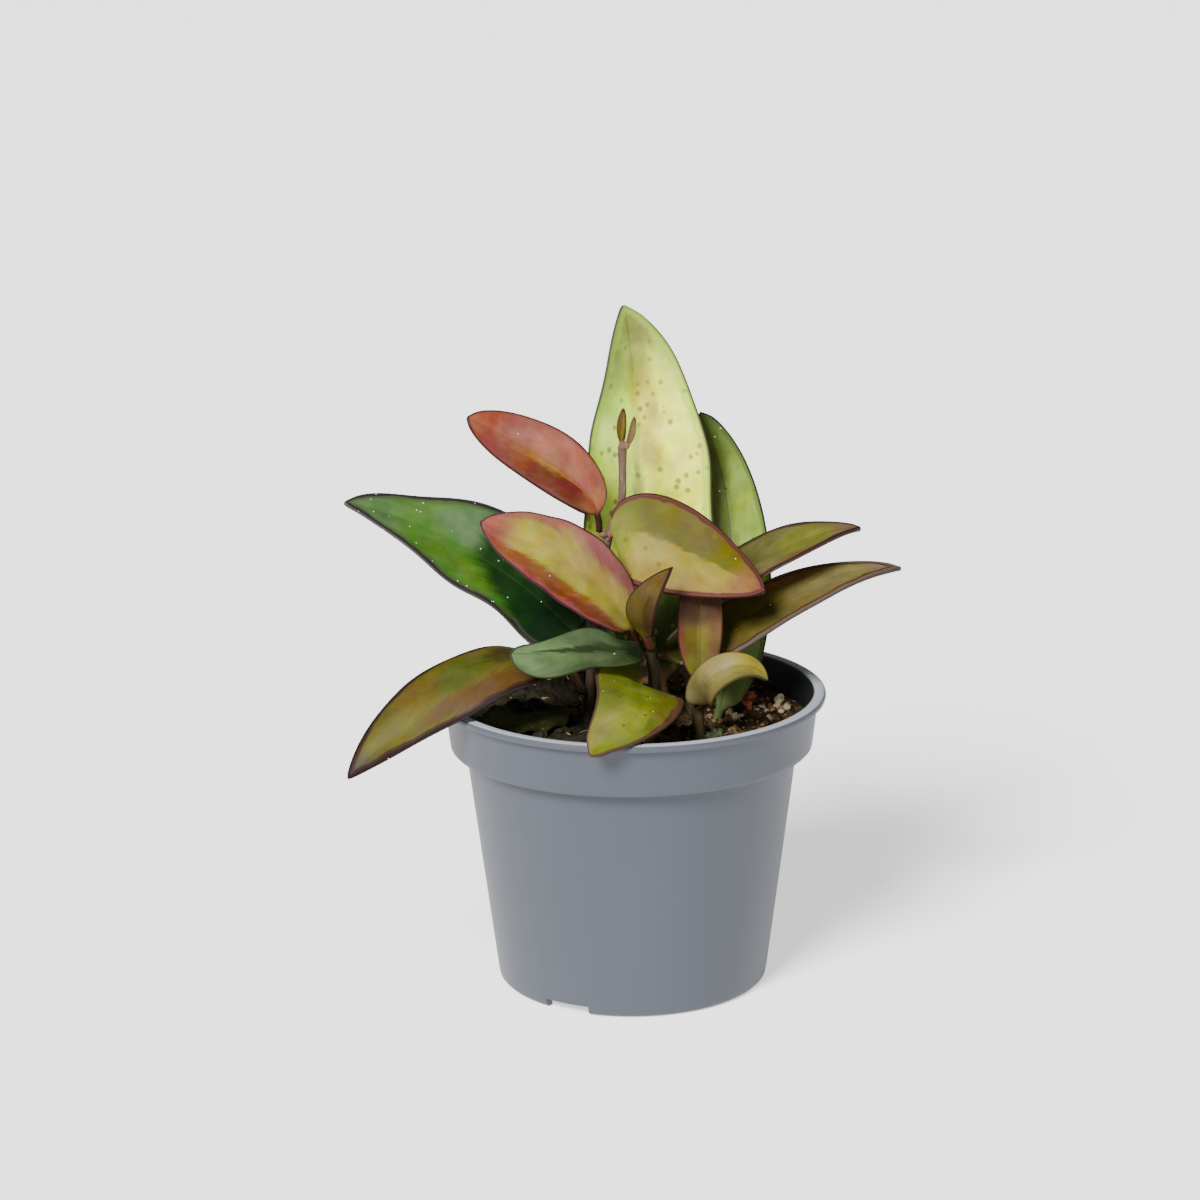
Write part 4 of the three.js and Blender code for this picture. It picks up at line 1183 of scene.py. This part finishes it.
# Long leaf over the rim at the left
# A long olive leaf that arches out over the pot and hangs down beside it, mottled with green and
# ochre, with a broad purple-brown rim.
make_leaf("leaf_low_left", {
    "spine": [(-11.2, -4.2, 69), (-17.1, -14, 92), (-47.8, -24, 78.3), (-63.7, -30, 57.4)],
    "face": [(-0.17, -0.03, 0.98), (0.22, -0.68, 0.7)],
    "stalk": 0.14, "halves": (9.4, 9), "shape": (0.58, 0.83),
    "fold": -0.08, "curl": -0.15, "wave": (0.3, 3), "tip": 1.0, "slot": "leaf_olive",
}, [waxy_skin("low_left", "#45400D", [
    ("#394410", 0.85, (0.52, -0.2), (0.14, 0.4), 0.4),
    ("#432A0D", 0.85, (0.42, 0.62), (0.3, 0.3), 0.3),
    ("#2D260D", 0.85, (0.28, -0.25), (0.1, 0.4), 0.4),
    ("#404111", 0.7, (0.15, -0.3), (0.12, 0.6), 0.5),
    ("#4C4712", 0.8, (0.82, 0.1), (0.12, 0.5), 0.5),
    ("#49360F", 0.7, (0.66, -0.3), (0.08, 0.5), 0.5),
    ("#352D0D", 0.6, (0.9, 0.5), (0.08, 0.3), 0.5),
    ("#372E2C", 0.9, (1.03, 0), (0.11, 3), 0.4),
], margin=[("#271713", 1.5, 0.9), ("#190D0D", 0.85, 0.85), ("#2E2529", 0.2, 0.7)],
    rib=("#414015", 0.12, 0.3), specks=0.05, roughness=0.5, feather=0.6), olive_under])


# Lime leaf over the front of the rim
# A thick lime leaf, bent down over the lip, with a mauve-brown rim. Drops of dew stand on it.
FRONT_LEAF = {
    "spine": [(3.8, -13, 74.9), (-7, -12, 74.6), (14.3, -33, 77.9), (-9.5, -49, 68.4)],
    "face": [(0.6, -0.5, 0.6), (0.06, -0.56, 0.83)],
    "stalk": 0.06, "halves": (11.4, 11.2), "shape": (0.25, 0.77), "shape_right": (0.54, 0.47),
    "fold": 0.08, "curl": -0.04, "tip": 1.7, "slot": "leaf_lime",
}
make_leaf("leaf_front", FRONT_LEAF, [waxy_skin("front", "#525A10", [
    ("#5A6714", 0.7, (0.45, -0.2), (0.25, 0.4), 0.5),
    ("#686C15", 0.85, (0.8, 0.0), (0.14, 0.5), 0.5),
    ("#4F4B13", 0.7, (0.55, 0.7), (0.25, 0.35), 0.5),
    ("#6C6533", 0.75, (0.92, -0.6), (0.1, 0.4), 0.5),
    ("#414A0E", 0.8, (0.1, 0), (0.16, 2), 0.5),
    ("#422919", 0.95, (0.58, 1.04), (0.42, 0.24), 0.16),
    ("#4D342F", 0.7, (0.6, 1.06), (0.3, 0.13), 0.2),
], margin=[("#432F20", 0.6, 0.75), ("#392720", 0.3, 0.85)],
    rib=("#5C5F11", 0.1, 0.3), specks=0.2, roughness=0.4, feather=0.35), green_under])


# Old leaf on the soil
# A leaf that lies on the damp peat in the shade of the leaves above; its dark olive is painted near
# black as shade. It is limp and dull, and its veins and spots show only as slightly paler marks.
make_leaf("leaf_old_dark", {
    "spine": [(-12.6, 0.6, 63), (-18, -3, 65), (-27, -7, 64.4), (-36, -9, 63)],
    "face": [(0, -0.2, 1), (0, -0.15, 1)],
    "stalk": 0.14, "halves": (8.4, 8.4), "shape": (0.5, 0.6),
    "fold": 0, "wave": (0.7, 4), "slot": "leaf_old",
# Painted shade: the leaf's dark olive is painted near black, as it lies in the shade of the leaves above
}, [waxy_skin("old_dark", "#232E0D", [
    ("#42451F", 0.8, (0.5, 0.4), (0.4, 0.4), 0.6),
    ("#0D0E0D", 0.9, (0.35, -0.4), (0.2, 0.5), 0.5),
    ("#4B4A26", 0.8, (0.75, -0.2), (0.12, 0.5), 0.5),
], margin=[("#25180D", 0.6, 0.7)], rib=("#524F29", 0.15, 0.7), spots=("#55522C", 0.5, 2.2, 0.6),
    specks=0.1, roughness=0.7, feather=0.7), olive_under])


# Growing tip
# Two leaves still folded shut at the top of the main stem, brown and tan. They stand on a soft
# knob of new growth, and smaller knobs mark the joints below it.
make_leaf("bud_tall", {
    "spine": [(-1.6, 0, 126.9), (-2.2, -0.2, 130), (-1.6, 0.2, 132.4), (-1.4, 0.4, 134.6)],
    "face": [(0, -1, 0.05), (0, -1, 0.05)],
    "stalk": 0.06, "halves": (1.0, 1.1), "shape": (0.5, 0.6),
    "fold": 0.3, "slot": "bud_brown", "plump": 1.1, "stalk_radius": 0.6,
}, [waxy_skin("bud_tall", "#52410E", [
    ("#44330D", 0.8, (0.5, 0.6), (0.6, 0.5), 0.4),
], margin=[("#39280D", 0.2, 0.7)], roughness=0.45), red_under])
make_leaf("bud_small", {
    "spine": [(-0.5, -1.2, 126.6), (0.4, -1.9, 128.6), (0.9, -2, 131), (1.2, -2.1, 133)],
    "face": [(0.3, -0.95, 0), (0.3, -0.95, 0)],
    "stalk": 0.1, "halves": (0.75, 0.75), "shape": (0.4, 0.5),
    "fold": 0.2, "slot": "bud_brown", "stalk_radius": 0.5,
}, [waxy_skin("bud_small", "#644D29", [], margin=[("#453223", 0.15, 0.7)],
    rib=("#200D0D", 0.1, 0.8), roughness=0.45), red_under])


def smooth_ball(name, place_mm, size_mm, tilt=0.0):
    """A small smooth ball, squeezed to its own size each way and tilted sideways."""
    bpy.ops.object.select_all(action="DESELECT")
    bpy.ops.mesh.primitive_ico_sphere_add(
        subdivisions=3, radius=1.0, location=Vector(place_mm) * MM, rotation=(0, tilt, 0),
        scale=Vector(size_mm) * MM)
    settle(bpy.context.object)
    bpy.ops.object.shade_smooth()
    bpy.context.object.name = name
    return bpy.context.object


knob = join([smooth_ball("knob", place, size) for place, size in (
    ((-1.45, -0.35, 126.5), (1.05, 1.0, 1.15)), ((-0.75, -0.9, 126.6), (0.75, 0.75, 0.9)),
    ((-2.45, -0.6, 124.6), (0.42, 0.4, 0.35)), ((-5.1, -0.9, 104.8), (0.5, 0.45, 0.4)),
    ((-6.0, -0.5, 105.9), (1.3, 0.9, 0.8)))], "growing_tip_knob")
knob.data.materials.append(thin_bark("soft_shoot_tip", "#4C342A", "#6E5242", "#86705C"))
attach(knob, "root")


# Leaf base sheath
# Where the big green leaf joins the main stem, its stalk's foot widens to a sheath that clasps the stem
# from behind. It is dark green, painted darker still as the shade round the stem.
sheath = join([smooth_ball("sheath", (-9.3, 1.0, 84.0), (1.9, 0.45, 4.6), -0.55),
               smooth_ball("sheath", (-7.0, 0.9, 82.4), (1.6, 0.45, 3.6), -0.2)], "leaf_base_sheath")
# Dark green, partly its own colour and partly painted shade round the stem
sheath.data.materials.append(new_material("leaf_base_with_painted_shade", "#1A240E", 0.6))
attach(sheath, "root")


# Dew drops
# A few drops of water stand on the waxy front leaf. Each is a low round cap, clear and bright,
# that has beaded up on the wax.
DROP_FLATNESS = 0.6
DROPS = [(0.45, -0.35, 0.4), (0.55, 0.1, 0.45), (0.5, 0.55, 0.35), (0.72, 0.2, 0.35),
         (0.66, -0.5, 0.3), (0.84, -0.1, 0.3)]


def dew(leaf, places):
    """Drops on a leaf's upper side: along, across and radius in mm of each."""
    drops = []
    for along, across, radius in places:
        t = leaf["stalk"] + (1 - leaf["stalk"]) * along
        place, normal, half, _, _ = blade_point(leaf, t, across)
        drop = smooth_ball("drop", (0, 0, 0), (radius, radius, radius * DROP_FLATNESS))
        turn = normal.to_track_quat("Z", "Y").to_matrix().to_4x4()
        drop.data.transform(Matrix.Translation((place + normal * half) * MM) @ turn)
        drops.append(drop)
    return drops


# Clear water bends what lies under it and has a small bright glint
drops = join(dew(FRONT_LEAF, DROPS), "dew_drops")
drops.data.materials.append(new_material("dew_water", "#FFFFFF", 0.03, {
    "IOR": 1.33, "Transmission Weight": 1.0}))
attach(drops, "root")
